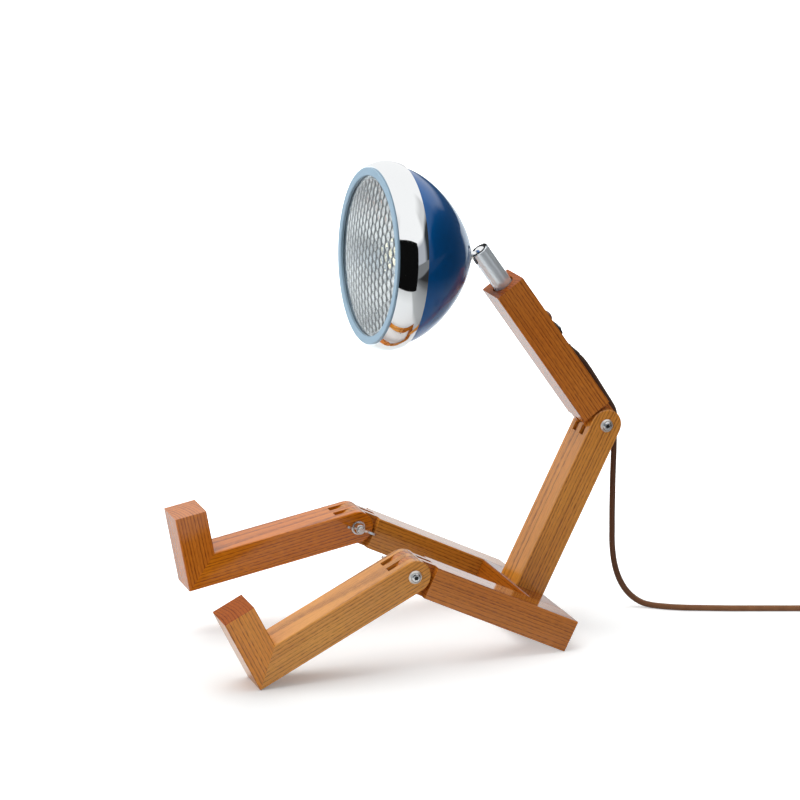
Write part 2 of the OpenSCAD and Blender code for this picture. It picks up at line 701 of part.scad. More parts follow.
cover_back = holder_front;
cover_front = cover_back - bulb_len;
column_r = bulb_d / 2 - 2.2;
module led_column() color("khaki") turned_part([
  [0, cover_front + 3], [column_r, cover_front + 3], [column_r, cover_back],
  [pin_r, cover_back], [pin_r, holder_front + 6], [0, holder_front + 6]]);

module bulb_cover() color([0.95, 0.95, 0.9]) {
  r = bulb_d / 2;
  turned_part(concat(
    [for (a = [90:-15:0]) [r * cos(a), cover_front + r * 0.6 * (1 - sin(a))]],
    [[r, cover_back], [r - 1, cover_back]],
    [for (a = [0:15:90]) [(r - 1) * cos(a), cover_front + 1 + (r - 1) * 0.6 * (1 - sin(a))]]));
}

module lamp_lead() color("white") turned_part(
  [[0, holder_back], [wire_r - 0.05, holder_back], [wire_r - 0.05, stem_end + 3], [0, stem_end + 3]]);

// Small screw up through the underside of the rim, onto the shell
rim_screw_seat = rim_radius(rim_screw_s - rim_screw_d) + loose;
module rim_screw() color("silver") at_rim_screw() {
  translate([0, 0, shell_r + loose]) cylinder(h = rim_screw_seat - shell_r, d = rim_screw_d);
  translate([0, 0, rim_screw_seat]) cylinder(h = 1.4, d1 = 2 * rim_screw_d, d2 = 1.4 * rim_screw_d);
}

// ---- Mains lead and plug ------------------------------------------------------------

function unit(v) = v / norm(v);

// Tube round a route of points; flank is a direction that the route never follows
module tube(route, r, sides, flank) {
  last = len(route) - 1;
  function along(i) = unit(route[min(i + 1, last)] - route[max(i - 1, 0)]);
  points = [for (i = [0:last]) let (t = along(i), e = unit(cross(t, flank)), f = cross(t, e))
    for (k = [0:sides - 1]) route[i] + r * (cos(360 * k / sides) * e + sin(360 * k / sides) * f)];
  walls = [for (i = [0:last - 1], k = [0:sides - 1])
    let (a = i * sides + k, b = i * sides + (k + 1) % sides)
    for (t = [[a, a + sides, b], [b, a + sides, b + sides]]) t];
  polyhedron(points, concat(walls, [[for (k = [0:sides - 1]) k]],
    [[for (k = [sides - 1:-1:0]) last * sides + k]]));
}

lead_r = lead_d / 2;
lead_sides = 10;
lead_brown = [0.26, 0.14, 0.07];
// From inside the gland, down the back and round the waist
upper_route = [
  [0, 114.3, 209.4], [0, 121.8, 203.1], [0, 126.5, 199.2], [0, 131, 195.3], [-0.5, 135, 191.2],
  [-1, 139.5, 185.2], [-1.5, 144.2, 178.2], [-2.2, 149, 171], [-3, 153.8, 163.8], [-3.6, 158.3, 157],
  [-4, 161.4, 151.4], [-4, 162.5, 145.5], [-4, 162.4, 139], [-4, 162.4, 132]
];
// Down behind the lower torso, onto the floor and away to the coil
lower_route = [
  [-4, 162.4, 132], [-4, 162.4, 121], [-4, 162.2, 110], [-4, 162, 98], [-4, 162, 86], [-4, 162, 74],
  [-4, 162.2, 62], [-4, 162.4, 51], [-3.9, 163.2, 41.5], [-3.6, 164.7, 32.5], [-2.9, 167.1, 24],
  [-1.7, 170.3, 16.8], [0.1, 174, 11], [2.6, 178.4, 6.6], [5.8, 183, 3.7], [9.4, 187.8, 2.5],
  [13.2, 192.8, 2.2], [18.5, 200.4, 2.2], [23.5, 209.5, 2.2], [28, 220, 2.2], [32.5, 231, 2.2],
  [37, 242, 2.2], [41, 253, 2.2],
  [45, 264, 2.2], [49, 275, 2.2], [53, 286, 2.2], [57, 297, 2.2], [61, 308, 2.2], [65.4, 320.1, 2.2]
];
// The coil lies two layers high, the upper one a turn narrower
coil_at = [36.5, 343.5];
coil_turns = 5;
// From the top of the coil, over its outer turn, down to the floor and up into the plug
tail_route = [
  [54.8, 369.6, 6.6], [46.6, 377.2, 6.4], [38, 382.8, 5.4], [28.5, 386.5, 3.6], [18.5, 388.5, 2.6],
  [8.5, 389, 3.2], [-1.5, 389, 5.2], [-10, 389, 6.8], [-18, 389, 7]
];

module lead_upper() color(lead_brown) tube(upper_route, lead_r, lead_sides, [1, 0, 0]);
module lead_lower() color(lead_brown) tube(lower_route, lead_r, lead_sides, [1, 0, 0]);
module lead_tail() color(lead_brown) tube(tail_route, lead_r, lead_sides, [0, 0, 1]);

module lead_coil() color(lead_brown) {
  inner = coil_r - coil_turns * lead_r;
  outer = coil_r + coil_turns * lead_r;
  soft = lead_r / 2;
  translate([coil_at[0], coil_at[1], 0]) rotate_extrude()
    polygon([[inner, soft], [inner + soft, 0], [outer - soft, 0], [outer, soft], [outer, lead_d - soft],
             [outer - lead_d, 2 * lead_d - soft], [outer - lead_d - soft, 2 * lead_d],
             [inner + soft, 2 * lead_d], [inner, 2 * lead_d - soft]]);
}

// Flat two-pin plug, lying beside the coil with its pins towards -X
plug_at = [-18, 389, 7];
plug_t = 13.6;
plug_w = 35;
plug_len = 30;
plug_neck_w = 12;
plug_neck_len = 7;                 // the body flares out over this length,
plug_flare_len = 12;               // and is full width from here
plug_relief = 18;
plug_face = plug_relief + plug_len;
pin_d = 4;
pin_root_d = 3;
pin_root_len = 8;
pin_len = 19;
pin_pitch = 19;
module at_plug() translate(plug_at) rotate([0, -90, 0]) children();
function plug_edge(s) = [[0, s * plug_neck_w / 2], [-plug_neck_len, s * (plug_w / 2 - 2)],
  [-plug_flare_len, s * plug_w / 2], [-plug_len, s * (plug_w / 2 - 3)]];

module plug_body() color([0.12, 0.08, 0.06]) at_plug() difference() {
  union() {
    cylinder(h = plug_relief + eps, d1 = lead_d + 1.6, d2 = plug_t - 4);
    translate([0, 0, plug_relief]) rotate([0, 90, 0]) linear_extrude(plug_t, center = true)
      polygon(concat(plug_edge(-1), reversed(plug_edge(1))));
  }
  translate([0, 0, -over]) cylinder(h = over + 2, d = lead_d);
  for (s = [-1, 1]) translate([0, s * pin_pitch / 2, plug_face - pin_root_len])
    cylinder(h = pin_root_len + over, d = pin_root_d);
}

module plug_pins() color("silver") at_plug()
  for (s = [-1, 1]) translate([0, s * pin_pitch / 2, plug_face]) {
    translate([0, 0, -pin_root_len]) cylinder(h = pin_root_len + eps, d = pin_root_d);
    cylinder(h = pin_len - 1, d = pin_d);
    translate([0, 0, pin_len - 1 - eps]) cylinder(h = 1, d1 = pin_d, d2 = pin_d - 1.4);
  }

// -------------------------------------------------------------------------------------

left_thigh();
right_thigh();
seat_block();
hip_dowels();
lower_torso();
torso_dowels();
torso_screw();
waist_bolt();
waist_cup_washer();
waist_washer();
left_shin();
left_foot();
left_foot_dowels();
left_knee_bolt();
left_knee_cup_washer();
left_knee_washer();
right_shin();
right_foot();
right_foot_dowels();
right_knee_bolt();
right_knee_cup_washer();
right_knee_washer();
waist_wing_nut();
left_knee_wing_nut();
right_knee_wing_nut();
upper_torso();
neck_sleeve();
neck_screw();
screw_cap();
switch_body();
switch_bezel();
switch_button();
lead_gland();
neck_tube();
neck_clip();
ball_seat();
neck_spring();
spring_stop();
neck_lead();
head_ball();
head_shell();
stem_washer();
stem_nut();
chrome_rim();
lens_ring();
lens();
lens_gasket();
reflector();
lampholder();
led_column();
bulb_cover();
lamp_lead();
rim_screw();
lead_upper();
lead_lower();
lead_coil();
lead_tail();
plug_body();
plug_pins();
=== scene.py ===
"""Looks of the figure desk lamp: finishes, turned parts, lens, hardware and mains lead,
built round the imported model. Lengths are metres, angles radians, unless a name says mm."""

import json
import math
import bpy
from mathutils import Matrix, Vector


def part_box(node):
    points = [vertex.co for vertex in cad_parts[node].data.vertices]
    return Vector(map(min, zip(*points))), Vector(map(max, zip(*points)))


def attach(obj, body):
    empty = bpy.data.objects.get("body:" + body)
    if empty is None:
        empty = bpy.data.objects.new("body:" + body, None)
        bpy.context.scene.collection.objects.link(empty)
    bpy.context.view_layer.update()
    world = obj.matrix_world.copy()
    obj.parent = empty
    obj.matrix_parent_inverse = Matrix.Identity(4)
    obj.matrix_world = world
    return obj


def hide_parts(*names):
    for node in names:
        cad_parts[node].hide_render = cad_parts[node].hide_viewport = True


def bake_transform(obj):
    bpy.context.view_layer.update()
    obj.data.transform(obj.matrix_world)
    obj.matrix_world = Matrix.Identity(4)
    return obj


bl_info = {
    "name": "Figure Desk Lamp",
    "version": (1, 0, 0),
    "blender": (4, 5, 0),
    "location": "View3D > Sidebar > Desk Lamp",
    "description": "Builds the visible pieces and finishes of a jointed wooden desk lamp",
    "category": "Object",
}

import bmesh
import bpy
from bpy.props import FloatProperty, FloatVectorProperty, IntProperty, PointerProperty
from mathutils import Matrix, Vector

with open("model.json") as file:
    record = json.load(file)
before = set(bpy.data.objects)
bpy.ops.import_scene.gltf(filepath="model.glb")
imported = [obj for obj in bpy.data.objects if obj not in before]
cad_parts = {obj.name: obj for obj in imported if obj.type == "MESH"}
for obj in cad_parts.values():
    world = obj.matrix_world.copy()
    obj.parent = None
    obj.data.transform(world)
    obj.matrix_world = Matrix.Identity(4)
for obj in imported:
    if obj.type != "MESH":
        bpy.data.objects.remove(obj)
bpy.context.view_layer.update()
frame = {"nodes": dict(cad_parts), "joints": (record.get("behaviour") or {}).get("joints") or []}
MM = 0.001
ACROSS = Vector((1, 0, 0))
UP = Vector((0, 0, 1))


# ---- Places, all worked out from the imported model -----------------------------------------


def joint_at(name):
    return Vector(next(joint["pos_m"] for joint in frame["joints"] if joint["name"] == name))


def box_middle(node):
    low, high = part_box(node)
    return (low + high) / 2


def axes_frame(x, y, z, origin):
    """Matrix at origin with x, y and z for its axes."""
    made = Matrix((x, y, z)).transposed().to_4x4()
    made.translation = origin
    return made


def upright_frame(origin, up):
    """Matrix at origin whose Z runs along up, whose X lies across the figure."""
    z = up.normalized()
    x = (ACROSS - z * ACROSS.dot(z)).normalized()
    return axes_frame(x, z.cross(x), z, origin)


def side_frame(node, side, y=UP):
    """Matrix on a cross bolt's axis at a node's face: Z runs through the node, to +X or to -X."""
    low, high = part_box(node)
    z = ACROSS * side
    return axes_frame(y.cross(z), y, z, Vector((low.x if side > 0 else high.x, *box_middle(node).yz)))


def broad_side(node):
    """A wooden bar's broad side direction in the YZ plane, found from its faces' areas."""
    found = {}
    for face in frame["nodes"][node].data.polygons:
        if abs(face.normal.x) < 0.1:
            angle = math.atan2(face.normal.z, face.normal.y) % math.pi
            total = found.setdefault(round(math.degrees(angle) * 2) % 360, [0.0, 0.0])
            total[0] += face.area
            total[1] += face.area * angle
    area, weighted = max(found.values())
    return Vector((0, math.cos(weighted / area), math.sin(weighted / area)))


def head_frame():
    """Matrix at the middle of the head's front plane: Z looks forward."""
    low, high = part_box("lens_ring")
    thickness = (high - low).y * abs(FORWARD.y) - (high - low).z * abs(FORWARD.z)
    return upright_frame(box_middle("lens_ring") + FORWARD * max(thickness / 2, 0), FORWARD)


def back_frame(node):
    """Matrix at the foot of a turned piece on the torso's back: Z runs outwards."""
    made = frame["nodes"][node]
    turn = TORSO.inverted() @ made.matrix_world
    points = [turn @ v.co for v in made.data.vertices]
    low, high = (Vector([pick(p[k] for p in points) for k in range(3)]) for pick in (min, max))
    foot = TORSO @ Vector(((low.x + high.x) / 2, low.y, (low.z + high.z) / 2))
    return upright_frame(foot, TORSO.to_3x3() @ Vector((0, 1, 0)))


BALL = joint_at("head_tilt")
FORWARD = (box_middle("lens_ring") - BALL).normalized()
HEAD = head_frame()
TORSO = upright_frame(joint_at("waist"), BALL - joint_at("waist"))


# ---- Sizes and colours --------------------------------------------------------------------


def srgb(red, green, blue):
    """Scene colour of a colour named in screen values from 0 to 255."""
    return tuple(
        v / 12.92 if v <= 0.04045 else ((v + 0.055) / 1.055) ** 2.4
        for v in (red / 255, green / 255, blue / 255)
    )


def length(name, text, default, low=0.0, high=2.0):
    return FloatProperty(
        name=name, description=text, default=default, min=low, max=high, unit="LENGTH", precision=5
    )


def share(name, text, default):
    return FloatProperty(name=name, description=text, default=default, min=0, max=1, subtype="FACTOR")


def colour(name, text, default):
    return FloatVectorProperty(
        name=name, description=text, default=default, size=3, min=0, max=1, subtype="COLOR"
    )


class WoodSettings(bpy.types.PropertyGroup):
    """Lacquered ash of the bars."""

    light: colour("Late wood", "Colour of the smooth wood between the rings", (0.73, 0.32, 0.066))
    dark: colour("Early wood", "Colour of the open pored rings", (0.27, 0.079, 0.011))
    ring_gap: length("Ring spacing", "Distance between two growth rings", 2.4 * MM)
    pith: length("Pith distance", "Distance from the bar to the heart of the tree", 58 * MM)
    lacquer: share("Lacquer", "Strength of the clear coat", 1.0)
    coat_roughness: share("Coat roughness", "Roughness of the clear coat", 0.12)
    pore_depth: length("Pore depth", "Depth of the pores under the coat", 0.14 * MM)


class HeadSettings(bpy.types.PropertyGroup):
    """Turned parts of the lamp head."""

    shell_radius: length("Shell radius", "Radius of the bowl where the rim grips it", 62.5 * MM)
    shell_start: length("Shell start", "Distance of the bowl's curve behind the front", 21.5 * MM)
    shell_curve: length("Shell curve", "Length of the bowl's curved back", 55 * MM)
    rim_bulge: length("Rim bulge", "Height of the rim over the bowl", 3.9 * MM)
    ring_width: length("Ring width", "Radial width of the pale ring", 5.6 * MM)
    lens_dome: length("Lens dome", "Rise of the glass at its middle", 4.5 * MM)
    pebble: length("Pebble size", "Pitch of the pebbles on the glass", 7.2 * MM)
    pebble_rise: length("Pebble rise", "Height of one pebble", 0.75 * MM)
    ring_edge: length("Ring edge", "Radial width of the ring's sloping inner edge", 0.6 * MM)
    lens_inset: length("Lens inset", "Distance of the glass's edge behind the front", 2.1 * MM)
    enamel: colour("Enamel", "Colour of the bowl", (0.0, 0.108, 0.365))
    ring_tint: colour("Ring tint", "Colour of the pale ring", (0.32, 0.46, 0.58))


class MetalSettings(bpy.types.PropertyGroup):
    """Bright metal parts."""

    chrome: colour("Chrome", "Tint of the chromed parts", (0.92, 0.93, 0.94))
    steel: colour("Steel", "Tint of the bolts and washers", (0.72, 0.72, 0.72))
    cast: colour("Cast nut", "Tint of the wing nuts", (0.78, 0.76, 0.73))
    thread_pitch: length("Thread pitch", "Pitch of the bolts' threads", 0.8 * MM)


class LeadSettings(bpy.types.PropertyGroup):
    """Mains lead."""

    diameter: length("Diameter", "Diameter of the braided lead", 4.4 * MM)
    whole: length("Length", "Whole length from the wood to the plug", 1.78, 0.5, 3)
    braid: colour("Braid", "Colour of the braid", srgb(84, 46, 22))
    fleck: colour("Fleck", "Colour of the braid's raised threads", srgb(146, 92, 52))
    turns: IntProperty(name="Turns", description="Turns in the coil's first layer", default=5, min=2, max=8)
    coil_radius: length("Coil radius", "Middle radius of the first layer", 26.4 * MM)


class StageSettings(bpy.types.PropertyGroup):
    """Floor, lights and camera."""

    eye: FloatVectorProperty(
        name="Camera place", description="Where the camera stands", size=3,
        default=(1.9805, -0.7287, 0.7585), subtype="TRANSLATION",
    )
    aim: FloatVectorProperty(
        name="Camera aim", description="What the camera looks at", size=3,
        default=(0.0010, -0.0059, 0.1758), subtype="TRANSLATION",
    )
    lens_mm: FloatProperty(name="Focal length", description="In millimetres", default=139.12, min=10)
    floor: share("Floor brightness", "How pale the floor is", 0.8)


GROUPS = {
    "lamp_wood": WoodSettings,
    "lamp_head": HeadSettings,
    "lamp_metal": MetalSettings,
    "lamp_lead": LeadSettings,
    "lamp_stage": StageSettings,
}


# ---- Shader maths -------------------------------------------------------------------------


def maths_node(operation):
    """A method that adds a Math node for an operator."""
    return lambda self, other: self.maths(operation, other)


class Field:
    """A socket's value: sums on it add Math nodes."""

    __add__ = __radd__ = maths_node("ADD")
    __sub__ = maths_node("SUBTRACT")
    __mul__ = __rmul__ = maths_node("MULTIPLY")
    __truediv__ = maths_node("DIVIDE")
    __pow__ = maths_node("POWER")

    def __init__(self, shade, socket):
        self.shade = shade
        self.socket = socket

    def __rsub__(self, other):
        return self.shade.maths("SUBTRACT", other, self)

    def maths(self, operation, *others):
        return self.shade.maths(operation, self, *others)


class Shade:
    """A material's or world's node tree under construction."""

    def __init__(self, owner):
        owner.use_nodes = True
        self.nodes = owner.node_tree.nodes
        self.links = owner.node_tree.links
        self.nodes.clear()

    def node(self, kind, settings=(), inputs=(), out=0):
        """Adds a node: its settings first, then the values or links of its sockets."""
        made = self.nodes.new(kind)
        for key, value in dict(settings).items():
            if key == "stops":
                self.set_stops(made.color_ramp, value)
            else:
                setattr(made, key, value)
        for key, value in dict(inputs).items():
            socket = made.inputs[key]
            if isinstance(value, Field):
                self.links.new(value.socket, socket)
            elif socket.type == "RGBA" and len(value) == 3:
                socket.default_value = (*value, 1)
            else:
                socket.default_value = value
        return Field(self, made.outputs[out] if made.outputs else None)

    @staticmethod
    def set_stops(ramp, stops):
        while len(ramp.elements) < len(stops):
            ramp.elements.new(1)
        for element, (place, value) in zip(ramp.elements, stops):
            element.position = place
            element.color = (value, value, value, 1) if isinstance(value, (int, float)) else (*value, 1)

    def maths(self, operation, *values):
        return self.node("ShaderNodeMath", {"operation": operation}, dict(enumerate(values)))

    def vector(self, operation, *values, out=0):
        return self.node("ShaderNodeVectorMath", {"operation": operation}, dict(enumerate(values)), out)

    def own_place(self):
        """Coordinates that stay with the piece."""
        return self.node("ShaderNodeTexCoord", out=3)

    def mapped(self, place, scale=(1, 1, 1), matrix=None):
        inputs = {"Vector": place, "Scale": scale}
        if matrix is not None:
            inputs |= {"Rotation": matrix.to_euler(), "Location": matrix.translation}
        return self.node("ShaderNodeMapping", inputs=inputs)

    def noise(self, place, scale, detail, roughness=0.5):
        """Noise of so many grains to the metre, the same each way or one number for each axis."""
        if isinstance(scale, tuple):
            place, scale = self.mapped(place, scale), 1
        return self.node("ShaderNodeTexNoise", inputs={
            "Vector": place, "Scale": scale, "Detail": detail, "Roughness": roughness,
        })

    def ramp(self, value, *stops):
        """A number reshaped by stops of (place, value)."""
        return self.node("ShaderNodeValToRGB", {"stops": stops}, {"Fac": value})

    def blend(self, factor, first, second, kind="MIX"):
        """Colours mixed by a factor."""
        return self.node("ShaderNodeMix", {"data_type": "RGBA", "blend_type": kind},
                         {0: factor, 6: first, 7: second}, out=2)

    def split(self, place):
        made = self.node("ShaderNodeSeparateXYZ", inputs={"Vector": place})
        return [Field(self, socket) for socket in made.socket.node.outputs]

    def bump(self, height, distance, strength):
        return self.node("ShaderNodeBump", inputs={
            "Height": height, "Distance": distance, "Strength": strength,
        })

    def glow(self, tint, strength=1.0):
        return self.node("ShaderNodeEmission", inputs={"Color": tint, "Strength": strength})

    def either(self, factor, first, second):
        """Two shaders mixed by a factor."""
        return self.node("ShaderNodeMixShader", inputs={0: factor, 1: first, 2: second})

    def by_ray(self, other, **shaders):
        """One shader for the rays of each kind that is named, and one for all other rays."""
        path = self.node("ShaderNodeLightPath").socket.node
        for kind, shader in shaders.items():
            other = self.either(Field(self, path.outputs[f"Is {kind} Ray"]), other, shader)
        return other

    def output(self, shader, kind="ShaderNodeOutputMaterial"):
        self.node(kind, inputs={0: shader})


def finish(build):
    """Makes a finish of a function that works out the inputs of a Principled shader."""

    def material(name, *values, **named):
        made = bpy.data.materials.new(name)
        shade = Shade(made)
        shade.output(shade.node("ShaderNodeBsdfPrincipled", inputs=build(shade, *values, **named)))
        return made

    return material


# ---- Finishes -----------------------------------------------------------------------------


def grain_frame(node, along_x):
    """Matrix that takes a point of the bar to grain axes: X along the grain, Z through the broad side."""
    broad = broad_side(node)
    along = ACROSS if along_x else broad.cross(ACROSS)
    turn = Matrix((along, broad.cross(along), broad)).to_4x4()
    turn.translation = -(turn.to_3x3() @ box_middle(node))
    return turn


@finish
def wood(shade, grain, wood_set, seed, tint, end_tint):
    """Lacquered ash: rings, pores and flecks run through the solid bar along its grain."""
    place = shade.mapped(shade.own_place(), matrix=grain)
    shifted = shade.vector("ADD", place, (seed * 0.37, seed * 0.11, seed * 0.23))
    _, side, through = shade.split(place)
    # Each bar lies at another turn round the tree's heart, and its rings sway a little along it
    turn = 1.15 + 0.35 * (seed * 0.618 % 1)
    sway = (shade.noise(shifted, (9, 26, 26), 2) - 0.5) * (7 * MM)
    drift = (shade.noise(shifted, (2.2, 9, 9), 1) - 0.5) * (16 * MM)
    y = side + wood_set.pith * math.cos(turn) + sway
    z = through + wood_set.pith * math.sin(turn) + drift
    radius = (y * y + z * z) ** 0.5

    def ring_noise(scale, y_shift, z_shift):
        spot = shade.node("ShaderNodeCombineXYZ", inputs={0: radius, 1: y_shift, 2: z_shift})
        return shade.noise(spot, scale, 1)

    ring = (radius / wood_set.ring_gap + ring_noise(420, seed * 0.5, 0) * 1.3).maths("FRACT")
    early = shade.ramp(ring, (0, 0.15), (0.08, 1), (0.24, 0.8), (0.42, 0.15), (0.9, 0), (1, 0.15))
    early = early * shade.ramp(ring_noise(190, 0, seed * 0.9), (0.3, 0.35), (0.62, 1))
    fibre = shade.noise(shifted, (120, 2200, 2200), 3, 0.6)
    streak = shade.noise(shifted, (22, 640, 640), 2, 0.6)
    pores = shade.ramp(shade.noise(shifted, (220, 1800, 1800), 1), (0.42, 0), (0.6, 1))
    pores = pores * (early * 0.85 + 0.15)
    cloud = shade.ramp(shade.noise(shifted, (9, 34, 34), 3), (0.35, 0), (0.7, 1))
    tone = shade.ramp(early * 0.62 + (streak - 0.5) + (fibre - 0.5) * 0.6, (0, 0), (0.8, 1))
    body = shade.blend(tone * 0.8, wood_set.light[:], wood_set.dark[:])
    body = shade.blend(pores * 0.8, body, [v * 0.42 for v in wood_set.dark])
    redder = (0.9, 0.72, 0.5)
    body = shade.blend(cloud * 0.55, body, redder, "MULTIPLY")
    normal = shade.node("ShaderNodeTexCoord", out=1)
    facing = shade.vector("DOT_PRODUCT", normal, tuple(grain[0])[:3], out=1)
    cut_end = shade.ramp(facing * facing, (0.6, 0), (0.8, 1))
    body = shade.blend(cut_end, body, end_tint, "MULTIPLY")
    soaked = cut_end * (1 - min(end_tint))
    return {
        "Base Color": shade.blend(1.0, body, tint, "MULTIPLY"),
        "Roughness": 0.42 + pores * 0.25 + fibre * 0.12,
        "Specular IOR Level": 0.0,
        "Coat Weight": wood_set.lacquer - pores * 0.15 - soaked,
        "Coat Roughness": wood_set.coat_roughness,
        "Coat IOR": 1.54,
        "Normal": shade.bump((1 - pores) * 0.8 + fibre * 0.25, wood_set.pore_depth, 0.4),
    }


@finish
def bright_metal(shade, tint, roughness, scratch=0.35, scale=1.0, metallic=1.0):
    """Polished metal with faint smears, and hairline scratches that break the gloss."""
    place = shade.own_place()
    smear = shade.noise(place, 38 * scale, 3, 0.6)
    marks = shade.ramp(shade.noise(place, (900, 90, 2600), 2, 0.6), (0.6, 0), (0.72, 1))
    return {
        "Base Color": shade.blend(smear * 0.18, tint, [v * 0.86 for v in tint]),
        "Metallic": metallic,
        "Roughness": roughness + smear * roughness * 0.6 + marks * roughness * scratch,
        "Normal": shade.bump(smear + marks * 0.15, 0.01 * MM, 0.12 * scratch),
    }


@finish
def moulded(shade, screen_tint, roughness, coat=0.0, glow=0.0):
    """Plastic, rubber or ceramic with a fine moulded texture."""
    place, tint = shade.own_place(), srgb(*screen_tint)
    fine = shade.noise(place, 2400, 2)
    broad = shade.noise(place, 90, 3)
    paler, darker = ([min(1, v * change) for v in tint] for change in (1.14, 0.86))
    return {
        "Base Color": shade.blend(broad, paler, darker),
        "Roughness": roughness + (fine - 0.5) * 0.16 + (broad - 0.5) * 0.1,
        "Coat Weight": coat,
        "Coat Roughness": 0.08,
        "Emission Color": tint,
        "Emission Strength": glow,
        "Normal": shade.bump(fine + broad * 0.4, 0.05 * MM, 0.35),
    }


@finish
def enamel(shade, tint):
    """Deep gloss paint with a metallic ground: orange peel under a clear coat, and a little dust."""
    place = shade.own_place()
    peel = shade.noise(place, 420, 2)
    dust = shade.ramp(shade.noise(place, 1500, 1), (0.7, 0), (0.78, 1))
    darker, paler = ([min(1, v * change) for v in tint] for change in (0.9, 1.1))
    return {
        "Base Color": shade.blend(shade.noise(place, 24, 2), darker, paler),
        "Metallic": 0.65,
        "Specular IOR Level": 0.0,
        "Roughness": 0.42 + dust * 0.2,
        "Coat Weight": 1.0 - dust * 0.15,
        "Coat Roughness": 0.025,
        "Coat IOR": 1.5,
        "Normal": shade.bump(peel, 0.02 * MM, 0.1),
    }


@finish
def glass(shade, tint, valleys=False):
    """Pressed glass with faint waviness, with painted shade in the valleys between its pebbles."""
    wave = shade.noise(shade.own_place(), 260, 2)
    # Painted shade: the valleys between the pebbles are tinted near black, standing in for the dark lines
    # that refraction shows there
    if valleys:
        height, _, _ = shade.split(shade.node("ShaderNodeUVMap", {"uv_map": "pebble"}))
        tint = shade.blend(shade.ramp(height, (0.08, 0), (0.55, 1)), (0.02, 0.025, 0.03), tint)
    return {
        "Base Color": tint,
        "Roughness": 0.02 + wave * 0.03,
        "Transmission Weight": 1.0,
        "IOR": 1.5,
        "Normal": shade.bump(wave, 0.03 * MM, 0.2),
    }


@finish
def braided(shade, lead_set):
    """Woven cover: two sets of threads cross each other round the lead, paler where it is worn. Painted
    shade darkens it down the torso's back, and painted light makes it paler where it lies on the floor.
    """
    round_it, along, _ = shade.split(shade.node("ShaderNodeUVMap", {"uv_map": "braid"}))
    strands, pitch = 8, 9 * MM
    over, under = (((round_it * strands + along * (slant / pitch)) * math.pi).maths("SINE").maths("ABSOLUTE")
                   for slant in (strands, -strands))
    weave = over.maths("MAXIMUM", under * 0.92)
    fuzz = shade.noise(shade.own_place(), 2600, 2, 0.6)
    worn = shade.noise(shade.own_place(), 120, 2)
    raised = shade.ramp(weave * 0.8 + (fuzz - 0.5) * 0.5, (0.35, 0), (0.9, 1))
    tint = shade.blend(raised * 0.75, [v * 0.45 for v in lead_set.braid], lead_set.fleck[:])
    # Painted light: paler where the lead lies on the floor; painted shade: near black down the torso's back
    floor_light_and_pebble_fade = shade.ramp(along, (0.19, 0), (0.27, 0.85))
    painted_torso_shade = shade.ramp(along, (0.06, 0.6), (0.14, 0))
    tint = shade.blend(floor_light_and_pebble_fade, tint, (0.31, 0.135, 0.05))
    tint = shade.blend(painted_torso_shade, tint, (0.004, 0.002, 0.001))
    return {
        "Base Color": shade.blend(worn * 0.6, tint, lead_set.braid[:]),
        "Roughness": 0.62 + fuzz * 0.2,
        "Sheen Weight": 0.1,
        "Normal": shade.bump(weave + fuzz * 0.3, 0.25 * MM, 0.7),
    }


# ---- Mesh making --------------------------------------------------------------------------
# A part is a pair of points and faces. Each face is a list of the points' numbers.

SQUARE = ((-1, -1), (1, -1), (1, 1), (-1, 1))


def shown(name, data, material=None):
    """A new object in the scene."""
    if material:
        data.materials.append(material)
    made = bpy.data.objects.new(name, data)
    bpy.context.scene.collection.objects.link(made)
    return made


def aimed(made, place, aim):
    """Stands a camera or light at its place and turns it to what it looks at."""
    made.location = place
    made.rotation_euler = (Vector(aim) - Vector(place)).to_track_quat("-Z", "Y").to_euler()


def sheet(name, corners, material):
    """A flat sheet of the stage."""
    mesh = bpy.data.meshes.new(name)
    mesh.from_pydata(corners, [], [list(range(len(corners)))])
    made = shown(name, mesh, material)
    return made


def piece(name, part, material, body, replaces, sharp=32):
    """A mesh object from a part in the row frame, smooth but for edges over the sharp angle."""
    points, faces = part
    mesh = bpy.data.meshes.new(name)
    mesh.from_pydata([tuple(p) for p in points], [], faces)
    mesh.validate()
    shell = bmesh.new()
    shell.from_mesh(mesh)
    bmesh.ops.recalc_face_normals(shell, faces=shell.faces)
    shell.to_mesh(mesh)
    shell.free()
    mesh.polygons.foreach_set("use_smooth", [True] * len(mesh.polygons))
    mesh.set_sharp_from_angle(angle=math.radians(sharp))
    made = shown(name, mesh, material)
    if body:
        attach(made, body)
    if replaces:
        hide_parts(*replaces)
    return made


def mark(made, name, marks):
    """A UV map that carries one mark for each point."""
    layer = made.data.uv_layers.new(name=name)
    for loop in made.data.loops:
        layer.data[loop.index].uv = marks[loop.vertex_index]


def paint_node(node, material):
    """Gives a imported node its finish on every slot."""
    mesh = frame["nodes"][node].data
    if not mesh.materials:
        mesh.materials.append(material)
    for i in range(len(mesh.materials)):
        mesh.materials[i] = material


def joined(parts):
    """Several (points, faces) as one."""
    points, faces = [], []
    for more_points, more_faces in parts:
        start = len(points)
        points += [Vector(p) for p in more_points]
        faces += [[i + start for i in face] for face in more_faces]
    return points, faces


def placed(part, matrix):
    points, faces = part
    return [matrix @ Vector(p) for p in points], faces


def filled(points, faces):
    """A part as a bmesh, for the tools that work on one."""
    made = bmesh.new()
    corners = [made.verts.new(p) for p in points]
    for face in faces:
        made.faces.new([corners[k] for k in face])
    bmesh.ops.recalc_face_normals(made, faces=made.faces)
    return made


def taken(made):
    """The part that a bmesh holds. The bmesh is freed."""
    made.verts.index_update()
    part = [v.co.copy() for v in made.verts], [[v.index for v in f.verts] for f in made.faces]
    made.free()
    return part


def spaced(first, last, steps):
    """Evenly spaced numbers from first to last."""
    return [first + (last - first) * i / steps for i in range(steps + 1)]


def around(count):
    """Angles that share out a full turn."""
    return [math.tau * k / count for k in range(count)]


